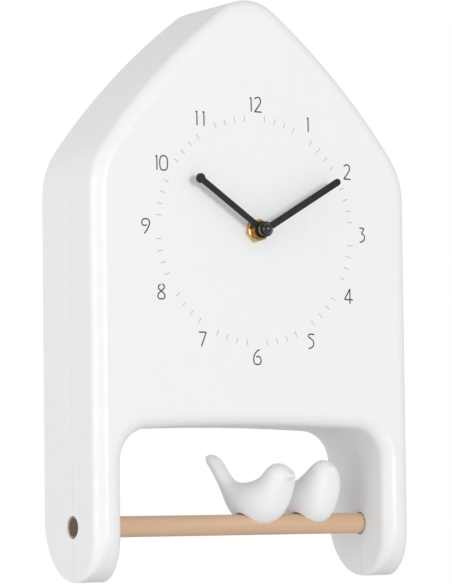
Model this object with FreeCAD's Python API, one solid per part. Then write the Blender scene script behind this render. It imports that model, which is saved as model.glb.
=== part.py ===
"""Wall-hung cuckoo clock: a house-shaped plastic case with two birds on a wooden perch.

Everything is drawn in the dial frame: the hands turn about the line x = z = 0, the front
face lies in the plane y = 0, +Y runs into the wall and +Z is up.  save() then shifts each
piece to the hanger frame, whose origin is the centre of the keyhole on the wall plane.
"""
import FreeCAD, Part
import math
import os

V = FreeCAD.Vector
os.makedirs("parts", exist_ok=True)

# ---------------------------------------------------------------- case, driving sizes (mm)
HALF_WIDTH = 105.7          # half of the overall width
DEPTH = 62.8                # front face to wall plane
FRONT_DEPTH = 29.3          # front face to the seam between the two shells
WALL = 3.0                  # moulded wall thickness
FRONT_FILLET = 8.0          # rounding all round the front face
FILLET_SHARE = 0.46         # most of a leg's width that the rounding may take from each side
APEX_HEIGHT = 134.8         # top of the roof above the hands' axis
APEX_RADIUS = 26.0
ROOF_RADIUS = 400.0         # the roof flanks are slightly convex
ROOF_START = 37.0           # degrees of the apex arc on each side
EAVE_RADIUS = 46.0
LEG_THICKNESS = 17.7
ARCH_TOP = -112.0           # crown of the opening between the legs
ARCH_CROWN_RADIUS = 1320.0
ARCH_CORNER_RADIUS = 19.0
LEG_BOTTOM = -200.4
LEG_LOW_Y = 26.8            # depth at which the rounded leg ends are lowest
HANGER_HEIGHT = 95.0        # keyhole above the hands' axis
LIP_GAP = 0.15              # locating lip of the back shell to the wall of the front shell
LIP_THICKNESS = 1.25
LIP_REACH = 2.5             # into the front shell
LIP_ROOT = 2.0              # along the back shell's own wall

# ---------------------------------------------------------------- small allowances
PAST = 1.0                  # cutters run this far past the face they cut through
BLEND = 0.5                 # joined pieces run this far into each other
FIT = 0.2                   # radial, screws and bush in their holes
SINK = 0.1                  # heads and tips that stop just short of a face

# ---------------------------------------------------------------- perch and birds
ROD_RADIUS = 6.0
ROD_DROP = 57.3             # arch crown to the rod's axis
ROD_RECESS = 0.6            # rod end below the outer side face
ROD_HOLE_CLEARANCE = 0.5    # radial, in the outer and inner leg walls
ROD_CHAMFER = 0.6
RIB_THICKNESS = 3.0         # ribs inside the legs that clamp the rod
RIB_BELOW = 14.0            # from the rod's axis
RIB_ABOVE = 12.0
SADDLE_GAP = 0.9            # the groove under a bird clears the top of the rod by this
LARGE_BIRD_X = 17.0
LARGE_BIRD_HEADING = 58.0   # degrees from +X towards the viewer
SMALL_BIRD_X = 55.0
SMALL_BIRD_HEADING = 66.0
# Bird sections in its own side view: upper point (s, z), lower point (s, z), half width, turn of the head.
LARGE_BIRD_SECTIONS = [
    ((-30.6, 41.3), (-32.6, 40.3), 2.8, 0.0),
    ((-28.2, 41.2), (-33.4, 38.4), 5.0, 0.0),
    ((-24.2, 38.6), (-31.9, 35.6), 6.2, 0.0),
    ((-20.8, 33.0), (-28.4, 30.4), 6.4, 0.0),
    ((-17.4, 27.6), (-25.2, 24.6), 6.8, 0.0),
    ((-13.8, 24.9), (-22.6, 19.4), 8.0, 0.0),
    ((-9.4, 24.4), (-19.6, 12.2), 10.4, 0.0),
    ((-4.6, 25.0), (-14.6, 3.4), 12.6, 0.0),
    ((0.2, 26.4), (-4.6, -1.0), 13.9, 0.0),
    ((4.2, 28.6), (6.6, -0.5), 13.8, 2.0),
    ((7.6, 33.0), (14.7, 4.3), 12.8, 6.0),
    ((11.2, 35.8), (18.8, 12.8), 11.8, 10.0),
    ((15.6, 35.6), (20.6, 19.6), 10.2, 14.0),
    ((19.6, 33.6), (21.8, 23.6), 7.4, 18.0),
    ((22.2, 31.0), (22.9, 26.2), 3.6, 20.0),
    ((27.2, 28.2), (27.2, 27.4), 0.5, 20.0),
]
SMALL_BIRD_SECTIONS = [
    ((-27.4, 16.6), (-27.9, 14.6), 2.4, 0.0),
    ((-26.0, 18.6), (-26.9, 12.8), 4.3, 0.0),
    ((-22.4, 20.6), (-24.2, 10.4), 6.2, 0.0),
    ((-17.4, 22.6), (-20.2, 6.8), 8.6, 0.0),
    ((-12.0, 24.6), (-15.2, 2.4), 11.4, 0.0),
    ((-6.8, 27.4), (-8.0, -1.0), 13.2, 0.0),
    ((-1.3, 31.6), (2.6, -1.3), 13.7, 0.0),
    ((3.0, 36.2), (10.8, 2.8), 12.8, 0.0),
    ((6.6, 37.9), (14.6, 11.4), 11.2, 2.0),
    ((9.8, 37.3), (16.1, 19.2), 9.0, 4.0),
    ((12.2, 35.6), (16.2, 26.4), 5.6, 6.0),
    ((13.8, 34.2), (15.4, 30.6), 2.5, 8.0),
    ((15.8, 33.1), (15.8, 32.3), 0.5, 8.0),
]
NECK = 13.0                 # the head turns about this point of the side view
SECTION_POINTS = 12

# ---------------------------------------------------------------- hands and centre stack
NUT_RADIUS = 7.1            # brass hex nut, across corners / 2
NUT_THICKNESS = 3.3
NUT_CHAMFER = 0.7           # taken off the front corners
NUT_CHAMFER_RUN = 0.83      # how far back that cone has grown to the full corner
NUT_TURN = 15.0             # degrees to the nut's first corner
COLLAR_RADIUS = 4.4
COLLAR_LENGTH = 2.5
BUSH_RADIUS = 3.97
BUSH_LENGTH = 6.0           # bush in front of the front face
BUSH_FLANGE_RADIUS = 6.0
BUSH_FLANGE_THICKNESS = 0.6
HAND_THICKNESS = 1.2
HOUR_HAND_FACE = 7.6        # front of the hour hand, ahead of the front face
HOUR_LENGTH = 49.4          # axis to the centre of the tip disc
HOUR_WIDTH = 3.5
HOUR_TIP_RADIUS = 2.85
HOUR_BOSS_RADIUS = 5.0
HOUR_ANGLE = 304.6          # clockwise from twelve
COLLET_RADIUS = 3.75
COLLET_LENGTH = 2.0
MINUTE_HAND_FACE = 12.0
MINUTE_LENGTH = 59.0        # axis to the rounded end
MINUTE_WIDTH = 4.0
MINUTE_BOSS_RADIUS = 4.3
MINUTE_ANGLE = 59.4
CAP_RADIUS = 3.35
CAP_HEIGHT = 3.2
CAP_RIM = 0.6               # straight part of the dome nut
SHAFT_IN_CAP = 1.5          # how far the minute shaft reaches into it
HOUR_PIPE_RADIUS = 2.5
MINUTE_SHAFT_RADIUS = 1.6
RUN_CLEARANCE = 0.05        # radial, every turning fit
GASKET_THICKNESS = 1.0
GASKET_RADIUS = 9.0

# ---------------------------------------------------------------- quartz movement
MOVEMENT_HALF = 28.0        # 56 mm square case
MOVEMENT_DEPTH = 16.5
MOVEMENT_WALL = 1.2
CELL_RADIUS = 7.25          # AA cell
CELL_LENGTH = 50.5
CELL_NUB_RADIUS = 2.7
CELL_NUB_LENGTH = 1.0
MOVEMENT_CELL_X = 19.0
BAY_WALL_X = 11.2
TRAIN_MODULE = 0.25
THIRD_MODULE = 0.28
CENTRE_MODULE = 0.30
CANNON_MODULE = 0.40
GEAR_BACKLASH = 0.09
WHEEL_THICKNESS = 0.8
STAFF_RADIUS = 0.5
ROTOR_RADIUS = 2.6
MOVEMENT_CORNER = 2.5
PINION_LIP = 0.2            # pinions start this far ahead of the wheel they drive
PINION_WIDTH = 1.4
BEARING_DEPTH = 0.5         # arbors stop this far inside the outer faces
END_SHAKE = 0.1             # room at each end of an arbor
ADDENDUM = 0.85             # tooth tip beyond the pitch circle, in modules
DEDENDUM = 1.15
PRESSURE_ANGLE = 20.0
CANNON_TEETH, MOTION_TEETH, MOTION_PINION, HOUR_TEETH = 12, 36, 10, 40
SETTING_TEETH = 12
CENTRE_TEETH, THIRD_PINION, THIRD_TEETH, FOURTH_PINION = 64, 8, 60, 8
FOURTH_TEETH, SECOND_PINION, SECOND_TEETH, ROTOR_PINION = 50, 10, 48, 8
MOTION_BEARING = -100.0     # directions from each arbor to the next, degrees
SETTING_BEARING = -160.0
THIRD_BEARING = 150.0
FOURTH_BEARING = 80.0
SECOND_BEARING = 0.0
ROTOR_BEARING = 60.0
MOTION_STUD_RADIUS = 0.9
SETTING_STAFF_RADIUS = 1.5
SETTING_KNOB_RADIUS = 5.5
SETTING_KNOB_LENGTH = 3.25
SETTING_KNOB_GAP = 0.25     # knob to the movement's cover
PIVOT_RADIUS = 1.0          # rear end of the minute arbor
STATOR_THICKNESS = 1.0
STATOR_HALF = 4.2
STATOR_LEFT = -13.0
STATOR_RIM = 5.0            # stator beyond the rotor's axis
STATOR_CORE_HALF = 1.2
STATOR_CORE_X = (-26.0, -12.0)
ROTOR_GAP = 0.35
ROTOR_AHEAD = 1.0           # magnet ahead of the stator's front
ROTOR_BEHIND = 1.8
COIL_X = (-24.0, -15.0)
COIL_CORE_RADIUS = 2.2
COIL_RADIUS = 3.4
COIL_FLANGE_RADIUS = 3.8
COIL_FLANGE_THICKNESS = 0.6
LOGIC_X = (-25.5, 8.0)
LOGIC_Z = (-26.3, -18.5)
LOGIC_THICKNESS = 0.8
LOGIC_STUD_RADIUS = 1.2
LOGIC_STUD_INSET = 2.5
CHIP_RADIUS = 2.2
CHIP_X = -12.0
CRYSTAL_RADIUS = 1.0
CRYSTAL_X = (-4.0, 2.2)
CONTACT_HALF = 5.0          # square contact plates of the cells
CONTACT_THICKNESS = 0.4
SPRING_RADIUS = 3.0
BUTTON_RADIUS = 1.5         # bump of the contact at the raised end of the clock's cell
SOUND_BUTTON_RADIUS = 2.0   # the same for the sound cells

# ---------------------------------------------------------------- back panel and electronics
WINDOW_HALF = 31.0          # opening behind the movement
WINDOW_CORNER = 4.0
WINDOW_GAP = 1.5            # rim of the opening to the movement's back
WELL_WALL = 1.6
SCREW_RADIUS = 1.5
SCREW_HEAD_RADIUS = 2.8
SCREW_HEAD_HEIGHT = 1.8
SCREW_LENGTH = 16.0
POST_RADIUS = 4.6
SCREW_SLOT_HALF = 1.6       # cross recess
SCREW_SLOT_WIDTH = 0.7
SCREW_SLOT_FLOOR = 1.0
POST_FLOOR = 3.0
TOP_POST_DROP = 13.8        # below the top of the roof
SIDE_POST_INSET = 17.7      # from the outer side
SIDE_POST_Z = 22.0
ARCH_POST_INSET = 14.0      # inside the leg's inner face
ARCH_POST_RISE = 10.0       # above the crown of the opening
LEG_POST_DROP = 38.0        # below the crown of the opening
BATTERY_DOOR_HALF = 33.0    # opening half width
BATTERY_DOOR_TOP = -56.0
BATTERY_DOOR_BOTTOM = -96.0
DOOR_GAP = 0.4
DOOR_THICKNESS = 2.4
DOOR_PIN_RADIUS = 1.0
DOOR_PIN_LENGTH = 2.4
DOOR_PIN_END_GAP = 0.3
DOOR_SEAT_GAP = 0.2         # door to the floor of its recess
DOOR_RIB_HALF = 16.0
DOOR_RIB_DEPTH = 0.6
DOOR_RIB_WIDTH = 1.0
DOOR_RIB_Z = (-64.0, -66.5, -69.0)
SCOOP_RADIUS = 4.0          # finger scoop above the door
SCOOP_HALF = 7.0
SCOOP_OUT = 1.8             # scoop's axis behind the wall plane
TUB_MARGIN = 4.0            # tub inside the door's outline
TUB_END_GAP = 2.5
CELL_GAP = 0.4
CELL_LIFT = 0.6             # cells to the inside of the back panel
SPEAKER_X = -66.0
SPEAKER_Z = -62.0
SPEAKER_RADIUS = 22.5
SLOT_WIDTH = 2.4
SLOT_PITCH = 5.0
BOARD_X = (46.0, 90.0)
BOARD_Z = (-88.0, -36.0)
BOARD_THICKNESS = 1.6
BOARD_GAP = 9.0             # board to the inside of the back panel
BOARD_SCREW_RADIUS = 1.1
BOARD_SCREW_BITE = 4.0      # length of each board screw in its post
BOARD_HOLE_INSET = 3.5
BOARD_POST_RADIUS = 3.0
BOARD_HEAD_RADIUS = 2.2
BOARD_HEAD_HEIGHT = 1.4
SPEAKER_RIM = 3.0
SPEAKER_RIM_DEPTH = 1.5
BASKET_BACK = 9.0           # basket floor ahead of the panel
BASKET_LENGTH = 7.5
BASKET_FLOOR_INSET = 9.0
BASKET_MOUTH_INSET = 2.2
BASKET_WALL = 1.0
BASKET_HOLE = 6.0
MAGNET_RADIUS = 11.0
MAGNET_LENGTH = 6.0
CONE_AHEAD = 6.5
CONE_LENGTH = 5.0
CONE_NECK = 5.0
CONE_MOUTH_INSET = 3.6
CONE_WALL = 0.6
VOICE_COIL_LENGTH = 3.0
VOICE_COIL_END = 6.0
SURROUND_WIDTH = 1.3
SURROUND_BACK = 0.9
SLOT_MARGIN = 3.0
SWITCH_X, SWITCH_Z = 57.0, -50.0
SWITCH_TRAVEL = 4.0
SWITCH_SLOT_HALF = 1.6
SWITCH_BODY_HEIGHT = 4.0
SWITCH_BODY_HALF = 3.0
SWITCH_BODY_WALL = 2.0
SWITCH_TRACK_HALF = 1.4
SWITCH_TRACK_FLOOR = 1.5
SLIDER_HALF = (1.9, 1.3)
SLIDER_LIFT = 0.05
KNOB_SINK = 0.4             # slider and knob end this far inside the wall plane
VOLUME_X, VOLUME_Z = 76.0, -62.0
VOLUME_RADIUS = 5.0
VOLUME_LIFT = 5.0           # knob above the board
VOLUME_STEM_RADIUS = 2.0
VOLUME_STEM_FLOOR = 1.0
VOLUME_SLOT_HALF = (0.6, 4.0)
VOLUME_SLOT_DEPTH = 1.4
POT_HALF = 5.5
POT_HEIGHT = 4.0
POT_CORNER = 1.0
FLUTES = 18
KNOB_CLEARANCE = 0.3
KEYHOLE_RADIUS = 4.5
KEYHOLE_SLOT_RADIUS = 2.2
KEYHOLE_RISE = 9.0
PLATE_THICKNESS = 1.2
PLATE_HALF = 15.0
PLATE_BELOW = 9.0           # from the keyhole's centre
PLATE_ABOVE = 17.0
PLATE_CORNER = 3.0
ROOM_HALF = 6.5             # hollow behind the keyhole for the screw's head
ROOM_BELOW = 6.5
ROOM_ABOVE = 14.0
ROOM_CORNER = 5.0
HANGER_SCREW_X = 11.0
HANGER_SCREW_RISE = 4.0
HANGER_SCREW_RADIUS = 1.1
HANGER_HEAD_RADIUS = 1.3
LEAD_RADIUS = 0.7
LEAD_CLEARANCE = 4.6        # leads ahead of the battery tub

# ---------------------------------------------------------------- derived places
EDGE_FILLET = min(FRONT_FILLET, FILLET_SHARE * LEG_THICKNESS)
LEG_INNER = HALF_WIDTH - LEG_THICKNESS
LEG_CENTRE = HALF_WIDTH - LEG_THICKNESS / 2
ROD_Z = ARCH_TOP - ROD_DROP
PANEL_Y = DEPTH - WALL
MOVEMENT_Y = WALL + GASKET_THICKNESS
MOVEMENT_BACK = MOVEMENT_Y + MOVEMENT_DEPTH
CASE_FRONT = MOVEMENT_Y + MOVEMENT_WALL      # inside of the movement's front wall
COVER_Y = MOVEMENT_BACK - MOVEMENT_WALL
FAR = 400.0
SCREW_PLACES = [(0.0, APEX_HEIGHT - TOP_POST_DROP)]
for post_x, post_z in ((HALF_WIDTH - SIDE_POST_INSET, SIDE_POST_Z),
                       (LEG_INNER - ARCH_POST_INSET, ARCH_TOP + ARCH_POST_RISE),
                       (LEG_CENTRE, ARCH_TOP - LEG_POST_DROP)):
    SCREW_PLACES += [(-post_x, post_z), (post_x, post_z)]
TUB_X = CELL_LENGTH / 2 + CELL_NUB_LENGTH + TUB_END_GAP
TUB_Z = (BATTERY_DOOR_BOTTOM + TUB_MARGIN, BATTERY_DOOR_TOP - TUB_MARGIN)
CELL_Y = PANEL_Y - CELL_LIFT - CELL_RADIUS
TUB_Y = CELL_Y - CELL_RADIUS - CELL_GAP
CELL_ROWS = (sum(TUB_Z) / 2 - CELL_RADIUS - CELL_GAP, sum(TUB_Z) / 2 + CELL_RADIUS + CELL_GAP)
HINGE_Y = DEPTH - DOOR_THICKNESS / 2
HINGE_Z = BATTERY_DOOR_BOTTOM + DOOR_GAP + DOOR_THICKNESS / 2
BOARD_FACE = PANEL_Y - BOARD_GAP
BOARD_BACK = BOARD_FACE - BOARD_THICKNESS
BOARD_HOLES = [(x, z) for x in (BOARD_X[0] + BOARD_HOLE_INSET, BOARD_X[1] - BOARD_HOLE_INSET)
               for z in (BOARD_Z[0] + BOARD_HOLE_INSET, BOARD_Z[1] - BOARD_HOLE_INSET)]
HANGER_SCREW_Z = HANGER_HEIGHT + HANGER_SCREW_RISE
LEAD_Y = TUB_Y - WELL_WALL - LEAD_CLEARANCE


# ================================================================ helpers
def save(name, *solids):
    """Shift the solids to the hanger frame and write them as one node."""
    shape = Part.makeCompound(list(solids)) if len(solids) > 1 else solids[0]
    shape = shape.copy()
    shape.translate(V(0, -DEPTH, -HANGER_HEIGHT))
    print("%-22s solids %d valid %s volume %.1f" % (name, len(shape.Solids), shape.isValid(), shape.Volume))
    shape.exportStep("parts/%s.step" % name)


def only(shape):
    """The single solid inside a boolean result."""
    return max(shape.Solids, key=lambda solid: solid.Volume)


def box(x, y, z):
    """Box from three (low, high) pairs."""
    return Part.makeBox(x[1] - x[0], y[1] - y[0], z[1] - z[0], V(x[0], y[0], z[0]))


def rod(axis, radius, low, high, a=0.0, b=0.0):
    """Cylinder along x, y or z from low to high; a and b are its other two coordinates."""
    base = {"x": V(low, a, b), "y": V(a, low, b), "z": V(a, b, low)}[axis]
    along = {"x": V(1, 0, 0), "y": V(0, 1, 0), "z": V(0, 0, 1)}[axis]
    return Part.makeCylinder(radius, high - low, base, along)


def tube(outer, inner, low, high, x=0.0, z=0.0):
    """Ring along y."""
    return rod("y", outer, low, high, x, z).cut(rod("y", inner, low - 1, high + 1, x, z))


def arc(cx, cz, radius, start, end, y):
    """Arc in a plane of constant y; angles in degrees from +X towards +Z."""
    points = []
    for angle in (start, (start + end) / 2, end):
        turn = math.radians(angle)
        points.append(V(cx + radius * math.cos(turn), y, cz + radius * math.sin(turn)))
    return Part.Arc(*points).toShape()


def line(x0, z0, x1, z1, y):
    """Straight edge in a plane of constant y."""
    return Part.LineSegment(V(x0, y, z0), V(x1, y, z1)).toShape()


def polar(radius, degrees, centre=(0.0, 0.0)):
    """Point (x, z) at a distance and direction from a centre."""
    turn = math.radians(degrees)
    return (centre[0] + radius * math.cos(turn), centre[1] + radius * math.sin(turn))


def rounded_box(x, y, z, radius):
    """Box whose four edges along y are rounded."""
    block = box(x, y, z)
    edges = [e for e in block.Edges if abs(e.Vertexes[0].Y - e.Vertexes[1].Y) > 1e-6]
    return block.makeFillet(radius, edges)


def turned(shape, clockwise):
    """Turn a shape drawn towards twelve o'clock clockwise as seen from the front."""
    shape = shape.copy()
    shape.rotate(V(0, 0, 0), V(0, 1, 0), clockwise)
    return shape


# ================================================================ case
def house_wire(inset, y):
    """The front outline with the arched opening between the legs, moved inwards by inset."""
    half = HALF_WIDTH - inset
    inner = LEG_INNER + inset
    low = LEG_BOTTOM - 10
    apex_z = APEX_HEIGHT - APEX_RADIUS
    start = math.radians(ROOF_START)
    reach = ROOF_RADIUS - APEX_RADIUS
    roof_x = -reach * math.sin(start)
    roof_z = apex_z - reach * math.cos(start)
    eave_x = HALF_WIDTH - EAVE_RADIUS
    span = ROOF_RADIUS - EAVE_RADIUS
    eave_z = roof_z + math.sqrt(span ** 2 - (eave_x - roof_x) ** 2)
    eave_angle = math.degrees(math.atan2(eave_z - roof_z, eave_x - roof_x))
    corner_x = LEG_INNER - ARCH_CORNER_RADIUS
    crown_z = ARCH_TOP - ARCH_CROWN_RADIUS
    corner_reach = ARCH_CROWN_RADIUS - ARCH_CORNER_RADIUS
    corner_z = crown_z + math.sqrt(corner_reach ** 2 - corner_x ** 2)
    corner_angle = math.degrees(math.atan2(corner_z - crown_z, corner_x))
    corner_radius = ARCH_CORNER_RADIUS + inset
    edges = [
        line(half, low, half, eave_z, y),
        arc(eave_x, eave_z, EAVE_RADIUS - inset, 0, eave_angle, y),
        arc(roof_x, roof_z, ROOF_RADIUS - inset, eave_angle, 90 - ROOF_START, y),
        arc(0, apex_z, APEX_RADIUS - inset, 90 - ROOF_START, 90 + ROOF_START, y),
        arc(-roof_x, roof_z, ROOF_RADIUS - inset, 90 + ROOF_START, 180 - eave_angle, y),
        arc(-eave_x, eave_z, EAVE_RADIUS - inset, 180 - eave_angle, 180, y),
        line(-half, eave_z, -half, low, y),
        line(-half, low, -inner, low, y),
        line(-inner, low, -inner, corner_z, y),
        arc(-corner_x, corner_z, corner_radius, 180, 180 - corner_angle, y),
        arc(0, crown_z, ARCH_CROWN_RADIUS + inset, 180 - corner_angle, corner_angle, y),
        arc(corner_x, corner_z, corner_radius, corner_angle, 0, y),
        line(inner, corner_z, inner, low, y),
        line(inner, low, half, low, y),
    ]
    return Part.Wire(Part.__sortEdges__(edges))


def side_prism(inset):
    """Side view of the case, extruded along x: flat front and back, round leg ends."""
    front, back = inset, DEPTH - inset
    low = LEG_BOTTOM + inset
    front_radius = LEG_LOW_Y - inset
    back_radius = DEPTH - LEG_LOW_Y - inset
    top = APEX_HEIGHT + 20
    mid = math.sqrt(0.5)
    points = [V(-FAR, front, top), V(-FAR, front, low + front_radius), V(-FAR, LEG_LOW_Y, low),
              V(-FAR, back, low + back_radius), V(-FAR, back, top)]
    front_mid = V(-FAR, LEG_LOW_Y - front_radius * mid, low + front_radius * (1 - mid))
    back_mid = V(-FAR, LEG_LOW_Y + back_radius * mid, low + back_radius * (1 - mid))
    wire = Part.Wire([
        Part.LineSegment(points[0], points[1]).toShape(),
        Part.Arc(points[1], front_mid, points[2]).toShape(),
        Part.Arc(points[2], back_mid, points[3]).toShape(),
        Part.LineSegment(points[3], points[4]).toShape(),
        Part.LineSegment(points[4], points[0]).toShape(),
    ])
    return Part.Face(wire).extrude(V(2 * FAR, 0, 0))


def case_body(inset, low_y, high_y):
    """The case as a solid block between two depths, moved inwards by inset."""
    block = Part.Face(house_wire(inset, low_y)).extrude(V(0, high_y - low_y, 0))
    return only(block.common(side_prism(inset)))


def soften_front(block, inset, radius):
    """Round the whole front perimeter, and the leg ends as far as the seam."""
    tangent_z = LEG_BOTTOM + LEG_LOW_Y
    chosen = []
    for edge in block.Edges:
        first, last = edge.Vertexes[0].Point, edge.Vertexes[-1].Point
        upright = abs(first.x - last.x) < 1e-6
        on_front = abs(first.y - inset) < 1e-6 and abs(last.y - inset) < 1e-6
        perimeter = on_front and (upright or max(first.z, last.z) > tangent_z + 1)
        leg_end = upright and not on_front and max(first.z, last.z) < tangent_z + 1e-3
        if perimeter or leg_end:
            chosen.append(edge)
    return only(block.makeFillet(radius, chosen))


# ================================================================ shells
def perch_cutters():
    """What the rod takes out of the inner and outer walls of both legs."""
    walls = []
    for side in (-1, 1):
        for low, high in ((LEG_INNER - PAST, LEG_INNER + WALL), (HALF_WIDTH - WALL, HALF_WIDTH + PAST)):
            ends = sorted((side * low, side * high))
            walls.append(rod("x", ROD_RADIUS + ROD_HOLE_CLEARANCE, ends[0], ends[1], FRONT_DEPTH, ROD_Z))
    return walls


def clamp_ribs(low_y, high_y):
    """One rib across each leg that holds the rod, drawn between two depths."""
    ribs = []
    half = RIB_THICKNESS / 2
    for x in (-LEG_CENTRE, LEG_CENTRE):
        rib = box((x - half, x + half), (low_y, high_y), (ROD_Z - RIB_BELOW, ROD_Z + RIB_ABOVE))
        ribs.append(rib.cut(rod("x", ROD_RADIUS, x - half - PAST, x + half + PAST, FRONT_DEPTH, ROD_Z)))
    return ribs


def front_shell():
    """Front half: rounded front, screw posts, clamping ribs, bush hole and perch holes."""
    outer = soften_front(case_body(0.0, 0.0, FRONT_DEPTH), 0.0, EDGE_FILLET)
    hollow = soften_front(case_body(WALL, WALL, FRONT_DEPTH + PAST), WALL, EDGE_FILLET - WALL)
    posts = [rod("y", POST_RADIUS, WALL - BLEND, FRONT_DEPTH, x, z) for x, z in SCREW_PLACES]
    extras = [piece.common(outer) for piece in posts + clamp_ribs(WALL - BLEND, FRONT_DEPTH)]
    shell = outer.cut(hollow).fuse(extras)
    holes = [rod("y", SCREW_RADIUS, FRONT_DEPTH - SCREW_LENGTH + POST_FLOOR, FRONT_DEPTH + PAST, x, z)
             for x, z in SCREW_PLACES]
    holes.append(rod("y", BUSH_RADIUS + FIT, -PAST, WALL + PAST))
    return only(shell.cut(holes + perch_cutters()))


def locating_lip():
    """Lip of the back shell that sits just inside the front shell's wall."""
    reach = case_body(WALL + LIP_GAP, FRONT_DEPTH - LIP_REACH, FRONT_DEPTH + BLEND)
    root = case_body(WALL - BLEND, FRONT_DEPTH, FRONT_DEPTH + LIP_ROOT)
    hollow = case_body(WALL + LIP_GAP + LIP_THICKNESS, FRONT_DEPTH - LIP_REACH - PAST,
                       FRONT_DEPTH + LIP_ROOT + PAST)
    legs = [box(sorted((side * (LEG_INNER - PAST), side * (HALF_WIDTH + PAST))),
                (FRONT_DEPTH - LIP_REACH - PAST, FRONT_DEPTH + LIP_ROOT + PAST),
                (LEG_BOTTOM - PAST, ARCH_TOP - RIB_ABOVE)) for side in (-1, 1)]
    return reach.fuse(root).cut([hollow] + legs)


def back_shell():
    """Back half: panel, lip, posts, the well behind the movement, battery tub and all openings."""
    outer = case_body(0.0, FRONT_DEPTH, DEPTH)
    shell = outer.cut(case_body(WALL, FRONT_DEPTH - PAST, PANEL_Y))
    extras = [locating_lip(), battery_tub()]
    for x, z in SCREW_PLACES:
        extras.append(rod("y", POST_RADIUS, FRONT_DEPTH, DEPTH, x, z).common(outer))
    extras += [rib.common(outer) for rib in clamp_ribs(FRONT_DEPTH, PANEL_Y + BLEND)]
    well = WINDOW_HALF + WELL_WALL
    extras.append(rounded_box((-well, well), (MOVEMENT_BACK + WINDOW_GAP, DEPTH), (-well, well),
                              WINDOW_CORNER + WELL_WALL))
    extras += [rod("y", BOARD_POST_RADIUS, BOARD_FACE, PANEL_Y + BLEND, x, z) for x, z in BOARD_HOLES]
    holes = perch_cutters()
    for x, z in SCREW_PLACES:
        holes.append(rod("y", SCREW_RADIUS + FIT, FRONT_DEPTH - PAST, DEPTH, x, z))
        holes.append(rod("y", SCREW_HEAD_RADIUS + FIT, FRONT_DEPTH + POST_FLOOR, DEPTH + PAST, x, z))
    holes.append(rounded_box((-WINDOW_HALF, WINDOW_HALF), (MOVEMENT_BACK, DEPTH + PAST),
                             (-WINDOW_HALF, WINDOW_HALF), WINDOW_CORNER))
    holes += [rod("y", BOARD_SCREW_RADIUS, BOARD_FACE - PAST, BOARD_FACE + BOARD_SCREW_BITE, x, z)
              for x, z in BOARD_HOLES]
    holes += battery_tub_cuts() + speaker_slots() + panel_cuts() + hanger_cuts()
    return only(shell.fuse(extras).cut(holes))


# ---------------------------------------------------------------- battery tub and its door
def battery_tub():
    """Block that the tub for the two sound cells is cut from."""
    reach = TUB_X + WELL_WALL
    return box((-reach, reach), (TUB_Y - WELL_WALL, PANEL_Y + BLEND),
               (TUB_Z[0] - WELL_WALL, TUB_Z[1] + WELL_WALL))


def battery_tub_cuts():
    """Room for the cells, the door's recess, its pin holes and a finger scoop."""
    space = box((-TUB_X, TUB_X), (TUB_Y, DEPTH + PAST), TUB_Z)
    seat = box((-BATTERY_DOOR_HALF, BATTERY_DOOR_HALF),
               (DEPTH - DOOR_THICKNESS - DOOR_SEAT_GAP, DEPTH + PAST),
               (BATTERY_DOOR_BOTTOM, BATTERY_DOOR_TOP))
    reach = BATTERY_DOOR_HALF + DOOR_PIN_LENGTH
    pins = rod("x", DOOR_PIN_RADIUS + RUN_CLEARANCE, -reach, reach, HINGE_Y, HINGE_Z)
    scoop = rod("x", SCOOP_RADIUS, -SCOOP_HALF, SCOOP_HALF, DEPTH + SCOOP_OUT, BATTERY_DOOR_TOP + PAST)
    return [space, seat, pins, scoop]


def battery_door():
    """Door with its knuckle, pins and finger ribs."""
    half = BATTERY_DOOR_HALF - DOOR_GAP
    plate = box((-half, half), (DEPTH - DOOR_THICKNESS, DEPTH), (HINGE_Z, BATTERY_DOOR_TOP - DOOR_GAP))
    knuckle = rod("x", DOOR_THICKNESS / 2, -half, half, HINGE_Y, HINGE_Z)
    reach = BATTERY_DOOR_HALF + DOOR_PIN_LENGTH - DOOR_PIN_END_GAP
    pins = rod("x", DOOR_PIN_RADIUS, -reach, reach, HINGE_Y, HINGE_Z)
    grooves = [box((-DOOR_RIB_HALF, DOOR_RIB_HALF), (DEPTH - DOOR_RIB_DEPTH, DEPTH + PAST),
                   (z, z + DOOR_RIB_WIDTH)) for z in DOOR_RIB_Z]
    return only(plate.fuse([knuckle, pins]).cut(grooves))


# ---------------------------------------------------------------- speaker, board, hanger
def speaker_slots():
    """Sound slots in the back panel, shortened to the speaker's circle."""
    slots = []
    half_width = SLOT_WIDTH / 2
    count = int((SPEAKER_RADIUS - SLOT_MARGIN - PAST) // SLOT_PITCH)
    for index in range(-count, count + 1):
        x = SPEAKER_X + index * SLOT_PITCH
        half = math.sqrt((SPEAKER_RADIUS - SLOT_MARGIN) ** 2 - (index * SLOT_PITCH) ** 2)
        slots.append(rounded_box((x - half_width, x + half_width), (PANEL_Y - PAST, DEPTH + PAST),
                                 (SPEAKER_Z - half, SPEAKER_Z + half), half_width - RUN_CLEARANCE))
    return slots


def panel_cuts():
    """Openings for the slide switch and the volume knob."""
    half = SWITCH_TRAVEL / 2 + SLIDER_HALF[0] + KNOB_CLEARANCE
    slot = box((SWITCH_X - half, SWITCH_X + half), (PANEL_Y - PAST, DEPTH + PAST),
               (SWITCH_Z - SWITCH_SLOT_HALF, SWITCH_Z + SWITCH_SLOT_HALF))
    knob = rod("y", VOLUME_RADIUS + KNOB_CLEARANCE, PANEL_Y - PAST, DEPTH + PAST, VOLUME_X, VOLUME_Z)
    return [slot, knob]


def hanger_blank(high_y):
    """Outline of the hanger plate, from its inner face to a depth."""
    return rounded_box((-PLATE_HALF, PLATE_HALF), (DEPTH - PLATE_THICKNESS, high_y),
                       (HANGER_HEIGHT - PLATE_BELOW, HANGER_HEIGHT + PLATE_ABOVE), PLATE_CORNER)


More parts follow.
